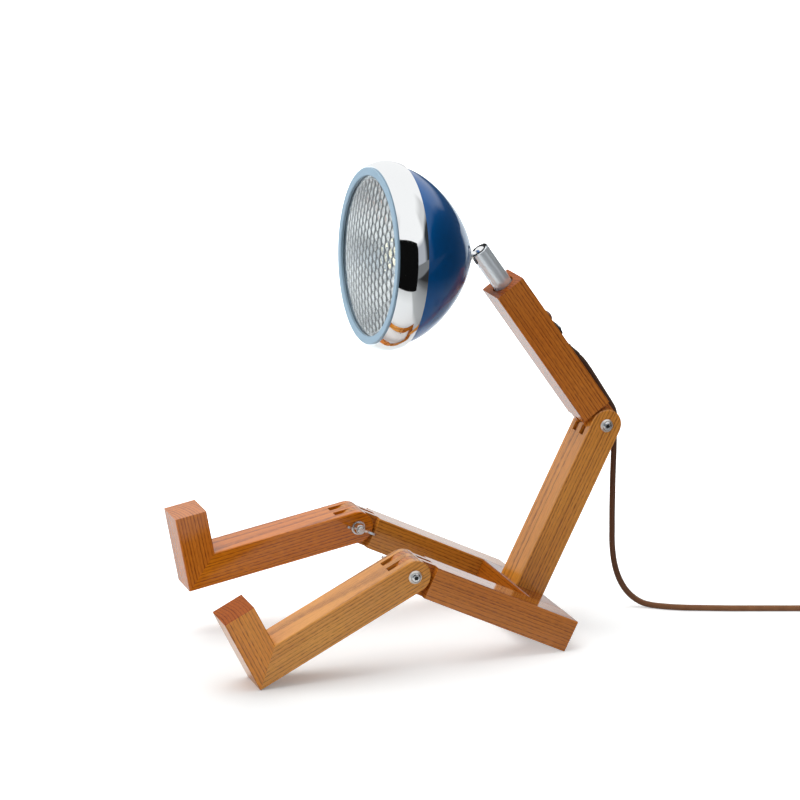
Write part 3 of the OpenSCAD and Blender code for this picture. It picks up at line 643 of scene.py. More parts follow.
def polar(radius, angle, height=0):
    return radius * math.cos(angle), radius * math.sin(angle), height


def band(first, second, count):
    """Faces between two rings of points that start at the numbers first and second."""
    return [[first + k, first + (k + 1) % count, second + (k + 1) % count, second + k]
            for k in range(count)]


def lofted(rings):
    """Skin over rings of equally many points, closed at both ends."""
    count, last = len(rings[0]), (len(rings) - 1) * len(rings[0])
    faces = [face for start in range(0, last, count) for face in band(start, start + count, count)]
    faces += [list(range(count - 1, -1, -1)), list(range(last, last + count))]
    return [point for ring in rings for point in ring], faces


def filleted(outline, radius, steps=4, sharp_at=()):
    """A closed outline with each corner rounded, as far as its sides allow."""
    made = []
    count = len(outline)
    for i, corner in enumerate(outline):
        here = Vector(corner)
        back = Vector(outline[i - 1]) - here
        ahead = Vector(outline[(i + 1) % count]) - here
        turn = math.pi - back.angle(ahead, math.pi)
        if i in sharp_at or turn < math.radians(12) or here.x < 1e-7:
            made.append(here)
            continue
        cut = min(radius * math.tan(turn / 2), back.length * 0.45, ahead.length * 0.45)
        first = here + back.normalized() * cut
        last = here + ahead.normalized() * cut
        for k in range(steps + 1):
            u = k / steps
            made.append(first * (1 - u) ** 2 + here * 2 * u * (1 - u) + last * u ** 2)
    return [tuple(p) for p in made]


def turned(outline, segments, at=Matrix()):
    """A closed outline of (radius, height) turned round the Z of a matrix."""
    points, rows, faces = [], [], []
    for radius, height in outline:
        row = [polar(radius, a, height) for a in around(segments if radius > 1e-7 else 1)]
        rows.append(list(range(len(points), len(points) + len(row))))
        points += row
    for first, second in zip(rows, rows[1:] + rows[:1]):
        for k in range(segments):
            after = (k + 1) % segments
            ring = [first[k % len(first)], first[after % len(first)],
                    second[after % len(second)], second[k % len(second)]]
            face = list(dict.fromkeys(ring))
            if len(face) > 2:
                faces.append(face)
    return placed((points, faces), at)


def head_turned(outline, segments):
    """Turned round the head's axis from (radius, distance behind the front)."""
    return turned([(r, -s) for r, s in outline], segments, HEAD)


def smooth_route(points, step):
    """A smooth curve through the points, resampled at about one step."""
    points = [Vector(p) for p in points]
    padded = [2 * points[0] - points[1], *points, 2 * points[-1] - points[-2]]
    made = []
    for a, b, c, d in zip(padded, padded[1:], padded[2:], padded[3:]):
        count = max(1, round((c - b).length / step))
        for k in range(count):
            u = k / count
            made.append(0.5 * (2 * b + (c - a) * u + (2 * a - 5 * b + 4 * c - d) * u ** 2
                               + (3 * b - a - 3 * c + d) * u ** 3))
    return [*made, points[-1]]


def swept(path, radius, sides):
    """Tube round a path, closed at both ends."""
    side = (path[1] - path[0]).orthogonal().normalized()
    rings = []
    for i, centre in enumerate(path):
        along = (path[min(i + 1, len(path) - 1)] - path[max(i - 1, 0)]).normalized()
        side = (side - along * side.dot(along)).normalized()
        other = along.cross(side)
        rings.append([centre + radius * (math.cos(a) * side + math.sin(a) * other) for a in around(sides)])
    return lofted(rings)


# ---- Operators ----------------------------------------------------------------------------


class LAMP_OT_camera(bpy.types.Operator):
    """Set up the camera in front of the lamp's left side"""

    bl_idname = "lamp.camera"
    bl_label = "Camera"

    def execute(self, context):
        stage = context.scene.lamp_stage
        camera = bpy.data.cameras.new("camera")
        camera.lens = stage.lens_mm
        camera.sensor_width = 36
        camera.clip_end = 60
        made = shown("camera", camera)
        aimed(made, stage.eye, stage.aim)
        context.scene.camera = made
        return {"FINISHED"}


# The lead's route in millimetres: down the back and round the waist, down to the floor and away
UPPER_ROUTE = [
    (0, 121.8, 203.1), (0, 126.5, 199.2), (0, 131, 195.3), (-0.5, 135, 191.2),
    (-1, 139.5, 185.2), (-1.5, 144.2, 178.2), (-2.2, 149, 171), (-3, 153.8, 163.8), (-3.6, 158.3, 157),
    (-4, 161.4, 151.4), (-4, 162.5, 145.5), (-4, 162.4, 139), (-4, 162.4, 132),
]
LOWER_ROUTE = [
    (-4, 162.4, 121), (-4, 162.2, 110), (-4, 162, 98), (-4, 162, 86), (-4, 162, 74),
    (-4, 162.2, 62), (-4, 162.4, 51), (-3.9, 163.2, 41.5), (-3.6, 164.7, 32.5), (-2.9, 167.1, 24),
    (-1.7, 170.3, 16.8), (0.1, 174, 11), (2.6, 178.4, 6.6), (5.8, 183, 3.7), (9.4, 187.8, 2.5),
    (13.2, 192.8, 2.2), (18.5, 200.4, 2.2), (23.5, 209.5, 2.2), (28, 220, 2.2), (32.5, 231, 2.2),
    (37, 242, 2.2), (41, 253, 2.2), (45, 264, 2.2), (49, 275, 2.2), (53, 286, 2.2), (57, 297, 2.2),
    (61, 308, 2.2), (65.4, 320.1, 2.2),
]
# From the top of the coil, over its outer turn, down to the floor and up into the plug
TAIL_ROUTE = [
    (54.8, 369.6, 6.6), (46.6, 377.2, 6.4), (38, 382.8, 5.4), (28.5, 386.5, 3.6), (18.5, 388.5, 2.6),
    (8.5, 389, 3.2), (-1.5, 389, 5.2), (-10, 389, 6.8), (-18, 389, 7),
]
COIL_AT = Vector((36.5, 343.5, 0))


def smoothed(u):
    u = min(max(u, 0), 1)
    return u * u * (3 - 2 * u)


def coil_route(lead_set):
    """The coil's turns: the first layer winds inwards on the floor, the second outwards on it."""
    thick = lead_set.diameter / MM
    turns = lead_set.turns
    outer = lead_set.coil_radius / MM + (turns - 1) / 2 * thick
    enter, leave, step = -20, 360 * (2 * turns - 2) + 40, 12
    step_from, step_to = 250, 320
    made = []
    for degrees in range(enter + step, leave, step):
        turn, local = divmod(degrees, 360)
        done = smoothed((local - step_from) / (step_to - step_from))
        if turn < turns - 1:
            radius, layer = outer - thick * (max(turn, 0) + (done if turn >= 0 else 0)), 0
        elif turn == turns - 1:
            radius, layer = outer - thick * (turns - 1), done
        else:
            radius, layer = outer - thick * (turns - 1) + thick * (turn - turns + done), 1
        made.append(COIL_AT + Vector(polar(radius, math.radians(degrees), thick * (0.5 + layer))))
    return made


class LAMP_OT_lead(bpy.types.Operator):
    """Lay the braided mains lead from the torso round its coil to the plug"""

    bl_idname = "lamp.lead"
    bl_label = "Mains lead"

    def execute(self, context):
        lead_set = context.scene.lamp_lead
        millimetres = [*UPPER_ROUTE, *LOWER_ROUTE, *coil_route(lead_set), *TAIL_ROUTE]
        path = smooth_route([Vector(p) * MM for p in millimetres], 2 * MM)
        sides, ways = 14, [0.0]
        for first, second in zip(path, path[1:]):
            ways.append(ways[-1] + (second - first).length)
        lead = piece("mains_lead", swept(path, lead_set.diameter / 2, sides),
                     braided("brown_braid", lead_set), None,
                     ("lead_upper", "lead_lower", "lead_coil", "lead_tail"))
        mark(lead, "braid", [(k / sides, way) for way in ways for k in range(sides)])
        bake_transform(lead)
        return {"FINISHED"}


def ribbed(count, start, pitch, radius, wider, groove, shares):
    """Outline of a sleeve's ribs, each wider by a step, with a groove after it at shares of the pitch."""
    made = []
    for k in range(count):
        reach = radius + wider * k
        for deep, share_along in ((0, 0), (0, shares[0]), (groove, shares[1]), (groove, shares[2])):
            made.append((reach - deep, start + pitch * (k + share_along)))
    return made


class LAMP_OT_plug(bpy.types.Operator):
    """Build the plug, its finger grip and strain relief, and the sleeve at the torso"""

    bl_idname = "lamp.plug"
    bl_label = "Plug and sleeve"

    def execute(self, context):
        lead_r = context.scene.lamp_lead.diameter / 2
        low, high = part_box("plug_body")
        middle = box_middle("plug_body")
        half = (high.y - low.y) / 2 / MM
        relief, ribs, widest = 18 * MM, 6, (high.z - low.z) / 2 - 2 * MM
        narrowest = lead_r + 0.8 * MM
        outline = [(lead_r, 0), *ribbed(ribs, 0, relief / ribs, narrowest, (widest - narrowest) / ribs,
                                        0.7 * MM, (0.6, 0.65, 0.98)),
                   (widest, relief), (lead_r, relief + 0.5 * MM)]
        inwards = Matrix.Translation((high.x, middle.y, middle.z)) @ Matrix.Rotation(-math.pi / 2, 4, "Y")
        parts = [turned(filleted(outline, 0.25 * MM, 2), 48, inwards)]
        back = high.x - relief
        shape = [(0, -6), (-7, 2 - half), (-12, -half), (-30, 3 - half),
                 (-30, half - 3), (-12, half), (-7, half - 2), (0, 6)]
        block = filled([(back + x * MM, middle.y + y * MM, low.z) for x, y in shape], [range(len(shape))])
        top = bmesh.ops.extrude_face_region(block, geom=block.faces[:])
        bmesh.ops.translate(block, vec=(0, 0, high.z - low.z),
                            verts=[v for v in top["geom"] if isinstance(v, bmesh.types.BMVert)])
        bmesh.ops.recalc_face_normals(block, faces=block.faces)
        bmesh.ops.bevel(block, geom=block.edges[:], offset=1.8 * MM, segments=4, profile=0.5,
                        affect="EDGES", clamp_overlap=True)
        parts.append(taken(block))
        for k in range(4):
            x = back - (12 + 3.4 * k) * MM
            for z in (low.z + 0.1 * MM, high.z - 0.1 * MM):
                grip = [Vector((x, middle.y + y, z)) for y in spaced(-9 * MM, 9 * MM, 8)]
                parts.append(swept(grip, 0.7 * MM, 10))
        piece("plug_moulding", joined(parts), moulded("plug_plastic", (46, 34, 28), 0.4), "seat",
              ("plug_body",))
        bore_r, foot_r, flange_r = (lead_r + more * MM for more in (0.05, 0.7, 1.1))
        outline = [(bore_r, -8 * MM), (foot_r, -8 * MM), (foot_r, 0.4 * MM), (flange_r, 0.5 * MM),
                   (flange_r, 1.3 * MM), *ribbed(5, 1.6 * MM, 2 * MM, lead_r + 0.68 * MM, -0.07 * MM,
                                                 0.25 * MM, (0.6, 0.7, 0.95)), (bore_r, 12 * MM)]
        start, ahead = (Vector(point) * MM for point in UPPER_ROUTE[:2])
        sleeve = turned(filleted(outline, 0.15 * MM, 2), 48, upright_frame(start, ahead - start))
        piece("lead_sleeve", sleeve, moulded("brown_rubber", (52, 32, 22), 0.6), "torso",
              ("lead_gland",))
        return {"FINISHED"}


# Each bar is cut from another board, so its wood is a little lighter, darker or redder
BAR_TINTS = {
    "left_thigh": (0.8, 0.6, 0.3), "right_thigh": (0.85, 0.77, 0.5), "seat_block": (0.6, 0.37, 0.12),
    "lower_torso": (1, 0.93, 0.68), "upper_torso": (0.81, 0.58, 0.3), "left_shin": (0.98, 0.99, 0.78),
    "right_shin": (0.9, 0.62, 0.1), "left_foot": (1.02, 0.9, 0.45), "right_foot": (0.81, 0.55, 0.25),
}
# Where the lacquer has soaked into the end grain
END_TINTS = {"left_foot": (0.52, 0.34, 0.3), "upper_torso": (0.7, 0.56, 0.46)}


class LAMP_OT_wood(bpy.types.Operator):
    """Give every wooden bar its own lacquered grain"""

    bl_idname = "lamp.wood"
    bl_label = "Wooden bars"

    def execute(self, context):
        wood_set = context.scene.lamp_wood
        for seed, (node, tint) in enumerate(BAR_TINTS.items(), 1):
            grain = grain_frame(node, along_x=node == "seat_block")
            end_tint = END_TINTS.get(node, (1, 1, 1))
            paint_node(node, wood(node + "_ash", grain, wood_set, seed, tint, end_tint))
        beech = moulded("beech", (214, 176, 126), 0.6)
        for node in ("hip_dowels", "torso_dowels", "left_foot_dowels", "right_foot_dowels"):
            paint_node(node, beech)
        return {"FINISHED"}


def shell_outline(head, start_r, deep):
    """Curve of the bowl from its rim to the flat at its tip."""
    fullness, nose = 1.58, 1.47
    collar = 4.5 * MM
    share_end = (1 - (collar / start_r) ** nose) ** (1 / fullness)
    shares = [share_end * math.sin(a) for a in spaced(0, math.pi / 2, 56)]
    return [(start_r * (1 - u ** fullness) ** (1 / nose), head.shell_start + deep * u) for u in shares]


def rim_radius(head, s):
    """Radius of the rim at a distance behind the front."""
    widest = 13.5 * MM
    if s < widest:
        grown = 1 - ((widest - s) / widest) ** 1.8
        return head.shell_radius - 1 * MM + (head.rim_bulge + 1 * MM) * grown
    return head.shell_radius + head.rim_bulge - 1.5 * MM * ((s - widest) / (head.shell_start - widest)) ** 2


class LAMP_OT_head(bpy.types.Operator):
    """Turn the bowl, the chrome rim and the pale ring"""

    bl_idname = "lamp.head"
    bl_label = "Head shells"

    def execute(self, context):
        head, metal = context.scene.lamp_head, context.scene.lamp_metal
        shell_r, back, wall = head.shell_radius, head.shell_start, 1 * MM
        outer = shell_outline(head, shell_r, head.shell_curve)
        inner = shell_outline(head, shell_r - wall, head.shell_curve - 1.4 * wall)
        front, stem_r = 8 * MM, 2.5 * MM
        bowl = [(shell_r, front), *outer, (stem_r, outer[-1][1]), (stem_r, inner[-1][1]),
                *reversed(inner), (shell_r - wall, front)]
        piece("blue_bowl", head_turned(bowl, 256), enamel("blue_enamel", head.enamel[:]), "head",
              ("head_shell",), 40)
        ring_t, lip_s, grip_r, steps = 1.5 * MM, 3 * MM, shell_r + 0.05 * MM, 40
        ring_out = shell_r - 1 * MM
        ring_in = ring_out - head.ring_width
        rim = [(rim_radius(head, s), s) for s in spaced(ring_t, back, steps)]
        rim += [(grip_r, back), (grip_r, back - wall)]
        rim += [(rim_radius(head, s) - wall, s) for s in reversed(spaced(lip_s, back - wall, steps))]
        rim += [(ring_in + 0.4 * MM, lip_s), (ring_in + 0.4 * MM, ring_t)]
        chrome = bright_metal("mirror_chrome", metal.chrome[:], 0.035)
        piece("chrome_bezel", head_turned(rim, 320), chrome, "head", ("chrome_rim",), 28)
        sleeve = ring_in + 0.35 * MM
        edge, inset = head.ring_edge, head.lens_inset
        ring = filleted([(ring_in, inset), (ring_in, edge), (ring_in + edge, 0), (ring_out, 0),
                         (ring_out, ring_t), (sleeve, ring_t), (sleeve, inset)],
                        0.45 * MM, 5, sharp_at=(0, 5, 6))
        satin = bright_metal("ring_anodised", head.ring_tint[:], 0.3, 0.2, metallic=0.4)
        piece("pale_ring", head_turned(ring, 256), satin, "head", ("lens_ring",))
        return {"FINISHED"}


def pebble_height(x, y, pitch):
    """Share of a pebble's rise at a point: 1 at its top, 0 where it meets its neighbours."""
    column = pitch * math.sqrt(3) / 2
    nearest = math.inf
    first = round(x / column)
    for i in (first - 1, first, first + 1):
        shift = 0.5 * (i % 2)
        row = round(y / pitch - shift)
        nearest = min(nearest, math.hypot(x - i * column, y - (row + shift) * pitch))
    return max(0.0, 1 - (nearest / (pitch / math.sqrt(3))) ** 2)


class LAMP_OT_lens(bpy.types.Operator):
    """Press the pebbled glass"""

    bl_idname = "lamp.lens"
    bl_label = "Lens"

    def execute(self, context):
        head = context.scene.lamp_head
        flange_r = head.shell_radius - 1 * MM
        lens_r = flange_r - head.ring_width - 0.05 * MM
        inner_r, floor_light_and_pebble_fade = lens_r - 1.6 * MM, 3.5 * MM
        edge_s, flange_s, back_s = head.lens_inset, 3 * MM, 5.6 * MM
        pressed_s = back_s - 1.2 * MM
        sides, across = 480, 84

        def dome(radius, base):
            return base - head.lens_dome * (1 - (radius / lens_r) ** 2)

        # Rings from the front's middle over the flange to the back's middle: radius, depth, pebbles' share
        rings = [(r, dome(r, edge_s), 0) for r in spaced(0, lens_r, 24)[1:]]
        rings += [(lens_r, flange_s, 0), (flange_r, flange_s, 0), (flange_r, back_s, 0),
                  (inner_r + 0.2 * MM, back_s, 0)]
        for r in spaced(inner_r, 0, across)[:-1]:
            rings.append((r, dome(r, pressed_s), smoothed((inner_r - r) / floor_light_and_pebble_fade)))
        # Each point also gets a mark for the painted valley shade: 1 on smooth glass and at a pebble's top,
        # less down in a valley
        points, clear = [], []
        for radius, depth, fade in rings:
            for angle in around(sides):
                x, y, _ = polar(radius, angle)
                height = pebble_height(x, y, head.pebble)
                points.append(HEAD @ Vector((x, y, -depth - height * head.pebble_rise * fade)))
                clear.append((1 - fade * (1 - height), 0.5))
        last = len(points) - sides
        faces = [face for start in range(0, last, sides) for face in band(start, start + sides, sides)]
        for start, depth in ((0, dome(0, edge_s)), (last, dome(0, pressed_s) + head.pebble_rise)):
            faces += [[start + k, start + (k + 1) % sides, len(points)] for k in range(sides)]
            points.append(HEAD @ Vector((0, 0, -depth)))
            clear.append((1, 0.5))
        pressed = glass("pressed_glass", (0.97, 0.99, 0.99), valleys=True)
        lens = piece("pebbled_glass", (points, faces), pressed, "head", ("lens",), 60)
        mark(lens, "pebble", clear)
        return {"FINISHED"}


class LAMP_OT_lamp(bpy.types.Operator):
    """Build what shows through the glass: the bright bowl, its holder and the bulb"""

    bl_idname = "lamp.lamp"
    bl_label = "Reflector and bulb"

    def execute(self, context):
        head = context.scene.lamp_head
        front, depth, holder_r, wall = 7.1 * MM, 41 * MM, 9 * MM, 0.9 * MM
        bowl_r = head.shell_radius - head.ring_width - 2.9 * MM

        def bowl_s(r):
            return front + depth * (1 - (r / bowl_r) ** 2)

        radii = spaced(bowl_r, holder_r, 48)
        neck_back = bowl_s(holder_r) + 6 * MM
        flange = head.shell_radius - 1.2 * MM
        outline = [(flange, front), (flange, front + wall), (bowl_r + wall, front + wall)]
        outline += [(r + wall, bowl_s(r)) for r in radii if bowl_s(r) > front + wall + 0.5 * MM]
        outline += [(holder_r + wall, neck_back), (holder_r, neck_back)]
        outline += [(r, bowl_s(r)) for r in reversed(radii)]
        mirror = bright_metal("vapour_mirror", (0.88, 0.89, 0.9), 0.05, 0.2)
        piece("bright_bowl", head_turned(outline, 192), mirror, "head", ("reflector",), 40)
        holder, radius = bowl_s(holder_r) - 2 * MM, 7.5 * MM
        tip, column_r = holder - 26 * MM, radius - 2.2 * MM
        chips = []
        for ring in range(6):
            for angle in around(16)[ring % 2::2]:
                out = Vector(polar(1, angle))
                spot = out * (column_r + 0.05 * MM) - UP * (holder - (4 + 3.6 * ring) * MM)
                chips.append(placed(slab(3 * MM, 0.6 * MM), HEAD @ axes_frame(UP.cross(out), UP, out, spot)))
        for angle in around(5):
            spot = Matrix.Translation(polar(2.9 * MM, angle, -tip - 3.1 * MM))
            chips.append(placed(slab(1.5 * MM, 0.5 * MM), HEAD @ spot))
        # Painted light: the emitter chips glow though the bulb is switched off
        phosphor = moulded("phosphor", (255, 250, 226), 0.5, glow=1.1)
        piece("bulb_emitters", joined(chips), phosphor, "head", (), 20)
        cap_s, pin_r, pin_s = tip + 3 * MM, 5 * MM, holder + 6 * MM
        column = filleted([(0, cap_s), (column_r, cap_s), (column_r, holder), (pin_r, holder),
                           (pin_r, pin_s), (0, pin_s)], 0.3 * MM)
        piece("bulb_column", head_turned(column, 48), moulded("bulb_board", (236, 232, 214), 0.4),
              "head", ("led_column",))

        def dome(r, top):
            return [(r * math.cos(a), top + r * 0.6 * (1 - math.sin(a))) for a in spaced(0, math.pi / 2, 12)]

        inner = radius - 1 * MM
        cover = [*reversed(dome(radius, tip)), (radius, holder), (inner, holder), *dome(inner, tip + 1 * MM)]
        piece("bulb_dome", head_turned(cover, 64), glass("clear_cover", (0.98, 0.98, 0.96)), "head",
              ("bulb_cover",), 60)
        return {"FINISHED"}


def slab(wide, thick):
    """Small square block with chamfered front edges, standing on Z = 0."""
    reach, cut = wide / 2, thick / 4
    levels = ((reach, 0), (reach, thick - cut), (reach - cut, thick))
    return lofted([[(x * r, y * r, z) for x, y in SQUARE] for r, z in levels])


def socket_head(radius, height, socket):
    """Domed bolt head with a hexagon socket, standing on Z = 0."""

    def ring(size, z, hexagon=False):
        made = []
        for a in around(48):
            r = size
            if hexagon:
                r *= math.cos(math.pi / 6) / math.cos(a % (math.pi / 3) - math.pi / 6)
            made.append(polar(r, a, z))
        return made

    rings = [ring(radius, 0)]
    for t in (math.radians(10 * i) for i in range(9)):
        rings.append(ring(radius * (0.5 + 0.5 * math.cos(t)), height * (0.3 + 0.7 * math.sin(t))))
    for grow, z in ((1.08, height), (1, height - 0.12 * MM), (1, height * 0.12)):
        rings.append(ring(socket * grow, z, hexagon=True))
    return lofted(rings)


def threaded_shank(radius, pitch, long):
    """Threaded shank from Z = 0 down, a little thinner at its end."""
    sides, per_turn, depth = 40, 8, 0.3 * pitch
    steps = int(long / pitch * per_turn)
    rings = []
    for i, z in enumerate(spaced(0, -long, steps)):
        taper = smoothed((steps - i) / 6) * 0.12 + 0.88
        reach = [(radius - depth * abs(2 * ((z / pitch + k / sides) % 1) - 1)) * taper for k in range(sides)]
        rings.append([polar(r, a, z) for r, a in zip(reach, around(sides))])
    return lofted(rings)


def wing_nut(bore_r, hub_r, hub_h, span):
    """Cast wing nut standing on Z = 0, its wings along Y, softened by subdivision."""
    hub = filleted([(bore_r, 0), (hub_r, 0), (hub_r, 0.8 * MM), (hub_r - 0.9 * MM, hub_h), (bore_r, hub_h)],
                   0.5 * MM, 3)
    parts = [turned(hub, 48)]
    reach, root = span / 2, bore_r + 0.9 * MM
    # Stations from the root to the tip of a wing: its lower edge, its upper edge, its thickness in mm
    stations = (
        (root, 0.6 * MM, root, hub_h - 0.4 * MM, 1.9),
        (0.52 * reach, 1.0 * MM, 0.46 * reach, hub_h - 0.2 * MM, 1.7),
        (0.8 * reach, 2.6 * MM, 0.58 * reach, hub_h + 0.6 * MM, 1.6),
        (0.985 * reach, 5.2 * MM, 0.68 * reach, hub_h + 2.0 * MM, 1.9),
        (0.97 * reach, 7.6 * MM, 0.84 * reach, 8.4 * MM, 1.8),
    )
    for side in (-1, 1):
        points = []
        for y0, z0, y1, z1, thick in stations:
            for x, u in ((-1, 0), (-1, 0.5), (-1, 1), (1, 1), (1, 0.5), (1, 0)):
                points.append((x * thick / 2 * MM, side * (y0 + (y1 - y0) * u), z0 + (z1 - z0) * u))
        faces = [face for start in range(0, 24, 6) for face in band(start, start + 6, 6)]
        faces += [[start + k for k in ends] for start in (0, 24) for ends in ((0, 5, 4, 1), (1, 4, 3, 2))]
        wing = filled(points, faces)
        bmesh.ops.subdivide_edges(wing, edges=wing.edges[:], cuts=1, use_grid_fill=True, smooth=0.0)
        for _ in range(2):
            bmesh.ops.smooth_vert(wing, verts=wing.verts[:], factor=0.25, use_axis_x=True,
                                  use_axis_y=False, use_axis_z=False)
        parts.append(taken(wing))
    return joined(parts)


class LAMP_OT_hardware(bpy.types.Operator):
    """Make the joint bolts, cup washers and wing nuts, with painted shade in the bolts' sockets"""

    bl_idname = "lamp.hardware"
    bl_label = "Bolts and wing nuts"

    def execute(self, context):
        metal = context.scene.lamp_metal
        steel = bright_metal("zinc_steel", metal.steel[:], 0.16, 0.8)
        satin = bright_metal("satin_nickel", (0.93, 0.91, 0.88), 0.3, 0.4)
        cast = bright_metal("cast_zinc", metal.cast[:], 0.13, 1.0, 6)
        painted_socket_shade = moulded("socket_grease", (16, 15, 14), 0.35)
        bolt_r, head_r, head_h, socket_r = 2.5 * MM, 3.5 * MM, 2.2 * MM, 1.6 * MM
        seat, top_r, well_r, bore_r = 0.5 * MM, 4 * MM, 3.55 * MM, bolt_r + 0.08 * MM
        plug_r, plug_low, plug_mid, plug_high = 1.35 * MM, 0.3 * MM, 1.2 * MM, 1.5 * MM
        hub_r, hub_h, span = 4.3 * MM, 5.4 * MM, 24 * MM
        wing_turn = math.radians(-21)
        wing_up = Vector((0, math.cos(wing_turn), math.sin(wing_turn)))
        kinds = ("bolt", "cup_washer", "washer", "wing_nut")
        for place, body, side in (("waist", "seat", 1), ("left_knee", "left_lower_leg", 1),
                                  ("right_knee", "right_lower_leg", -1)):
            bolt, cup, washer, nut = (f"{place}_{kind}" for kind in kinds)
            cup_at = side_frame(cup, side)
            low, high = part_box(cup)
            cup_h, cup_r = high.x - low.x, (high.z - low.z) / 2
            outline = filleted([(bore_r, 0), (cup_r, 0), (cup_r, cup_h * 0.3), (top_r, cup_h),
                                (well_r, cup_h), (well_r, seat), (bore_r, seat)], 0.35 * MM, 4)
            piece(f"{place}_cup", turned(outline, 64, cup_at), satin, body, (cup,))
            low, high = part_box(bolt)
            shank = threaded_shank(bolt_r, metal.thread_pitch, high.x - low.x - head_h)
            screw = joined([socket_head(head_r, head_h, socket_r), shank])
            head_at = cup_at @ Matrix.Translation((0, 0, seat))
            piece(f"{place}_screw", placed(screw, head_at), steel, body, (bolt,))
            # Painted shade: a black plug fills the hex socket, dark as the shaded recess
            outline = [(0, plug_low), (plug_r, plug_low), (plug_r, plug_high), (0, plug_mid)]
            dark = turned(outline, 6, head_at)
            piece(f"{place}_socket", dark, painted_socket_shade, body, ())
            paint_node(washer, steel)
            shape = placed(wing_nut(bore_r, hub_r, hub_h, span), side_frame(nut, -side, wing_up))
            piece(f"{place}_wings", shape, cast, f"{place}_nut", (nut,), 50)
        paint_node("torso_screw", steel)
        return {"FINISHED"}


class LAMP_OT_neck(bpy.types.Operator):
    """Finish the neck tube, the ball and its stem, and what sits inside the neck, and lay painted shade
    round the ball
    """

    bl_idname = "lamp.neck"
    bl_label = "Neck"

    def execute(self, context):
        metal = context.scene.lamp_metal
        chrome = bright_metal("neck_chrome", metal.chrome[:], 0.05)
        steel = bright_metal("spring_steel", metal.steel[:], 0.2)
        finishes = {
            "neck_tube": bright_metal("rolled_chrome", (0.87, 0.92, 0.96), 0.16, 0.04, metallic=0.55),
            "head_ball": chrome, "stem_washer": steel, "stem_nut": steel,
            "neck_screw": steel, "neck_spring": steel, "rim_screw": steel, "neck_clip": steel,
            # Painted shade: the nylon sleeve is coloured dark brown as the shaded wood of the bore round the
            # tube, in place of black
            "neck_sleeve": moulded("brown_nylon", (98, 58, 34), 0.45),
            "spring_stop": moulded("black_nylon", (44, 44, 46), 0.5),
            "ball_seat": bright_metal("turned_brass", (0.72, 0.52, 0.24), 0.2),
            "neck_lead": moulded("white_wire", (226, 224, 218), 0.4),
            "lamp_lead": moulded("white_wire_head", (226, 224, 218), 0.4),
            "lampholder": moulded("glazed_ceramic", (236, 230, 214), 0.25, coat=0.5),
            "lens_gasket": moulded("seal_rubber", (30, 31, 33), 0.7),
            "plug_pins": bright_metal("nickel_pins", (0.8, 0.77, 0.72), 0.14),
        }
        for node, material in finishes.items():
            paint_node(node, material)
        self.shade_mouth()
        return {"FINISHED"}

    def shade_mouth(self):
        """Painted shade: black strips round the ball and along the notch's edge stand in for the shaded gaps
        there. Heights are in millimetres above the ball's middle.
        """
        tube_r, lip_r, gap_shade_r, notch, top, low = 6.95, 6.1, 4.62, 2.95, 4.35, 1.6
        side_y, thin, thick = -math.sqrt(tube_r ** 2 - notch ** 2), 0.4, 0.75

        def arc(radius, first, last):
            return [polar(radius, math.radians(a), top) for a in range(first, last, 5)]

        notch_shade = arc(lip_r, 115, 240) + [(-notch, side_y, top - 0.6), (-notch, side_y, low)]
        for angle in (math.radians(a) for a in range(180, 361, 15)):
            x = notch * math.cos(angle)
            notch_shade.append((x, -math.sqrt(tube_r ** 2 - x ** 2), notch * math.sin(angle)))
        notch_shade += [(notch, side_y, low), (notch, side_y, top - 0.6)] + arc(lip_r, 300, 325)
        mouth = upright_frame(BALL, TORSO.to_3x3() @ UP)
        parts = []
        for route, radius in ((arc(gap_shade_r, -50, 231), thin), (notch_shade, thin), (arc(lip_r, 70, 120), thick)):
            path = smooth_route([mouth @ (Vector(point) * MM) for point in route], 0.6 * MM)
            parts.append(swept(path, radius * MM, 10))
        # The strips are painted shade, not a real part of the lamp
        piece("ball_gap_shade", joined(parts), moulded("wiper_rubber", (9, 9, 9), 0.7), "neck", ())


class LAMP_OT_switch(bpy.types.Operator):
    """Make the push switch and the brown cap above it"""

    bl_idname = "lamp.switch"
    bl_label = "Switch"

    def execute(self, context):
        metal = context.scene.lamp_metal
        black = moulded("black_plastic", (9, 9, 10), 0.6)
        paint_node("switch_body", black)
        bezel_r, bezel_h = 6.5 * MM, 3.1 * MM
        button_r, rise, inside = 3.3 * MM, 1.2 * MM, 4 * MM
        hole_r = button_r + 0.05 * MM
        bezel_at = back_frame("switch_bezel")
        outline = filleted([(hole_r, 0), (bezel_r, 0), (bezel_r, bezel_h * 0.4),
                            (bezel_r - 0.9 * MM, bezel_h), (button_r + 0.6 * MM, bezel_h),
                            (hole_r, bezel_h - 0.5 * MM)], 0.4 * MM, 4)
        piece("switch_collar", turned(outline, 96, bezel_at), black, "torso", ("switch_bezel",))
        outline = filleted([(0, -inside), (button_r, -inside), (button_r, bezel_h + rise * 0.6),
                            (button_r * 0.86, bezel_h + rise), (0, bezel_h + rise * 0.82)], 0.5 * MM, 4)
        chrome = bright_metal("button_chrome", metal.chrome[:], 0.08)
        piece("switch_push", turned(outline, 96, bezel_at), chrome, "button", ("switch_button",))
        cap_r, cap_h = 5.3 * MM, 4.2 * MM
        angles = [math.radians(a) for a in range(0, 90, 6)]
        dome = [(cap_r * math.cos(a), cap_h * math.sin(a)) for a in angles]
        brown = moulded("brown_plastic", (112, 62, 32), 0.35, coat=0.3)
        piece("brown_cap", turned([(0, 0), *dome, (0, cap_h)], 96, back_frame("screw_cap")), brown, "torso",
              ("screw_cap",), 50)
        return {"FINISHED"}


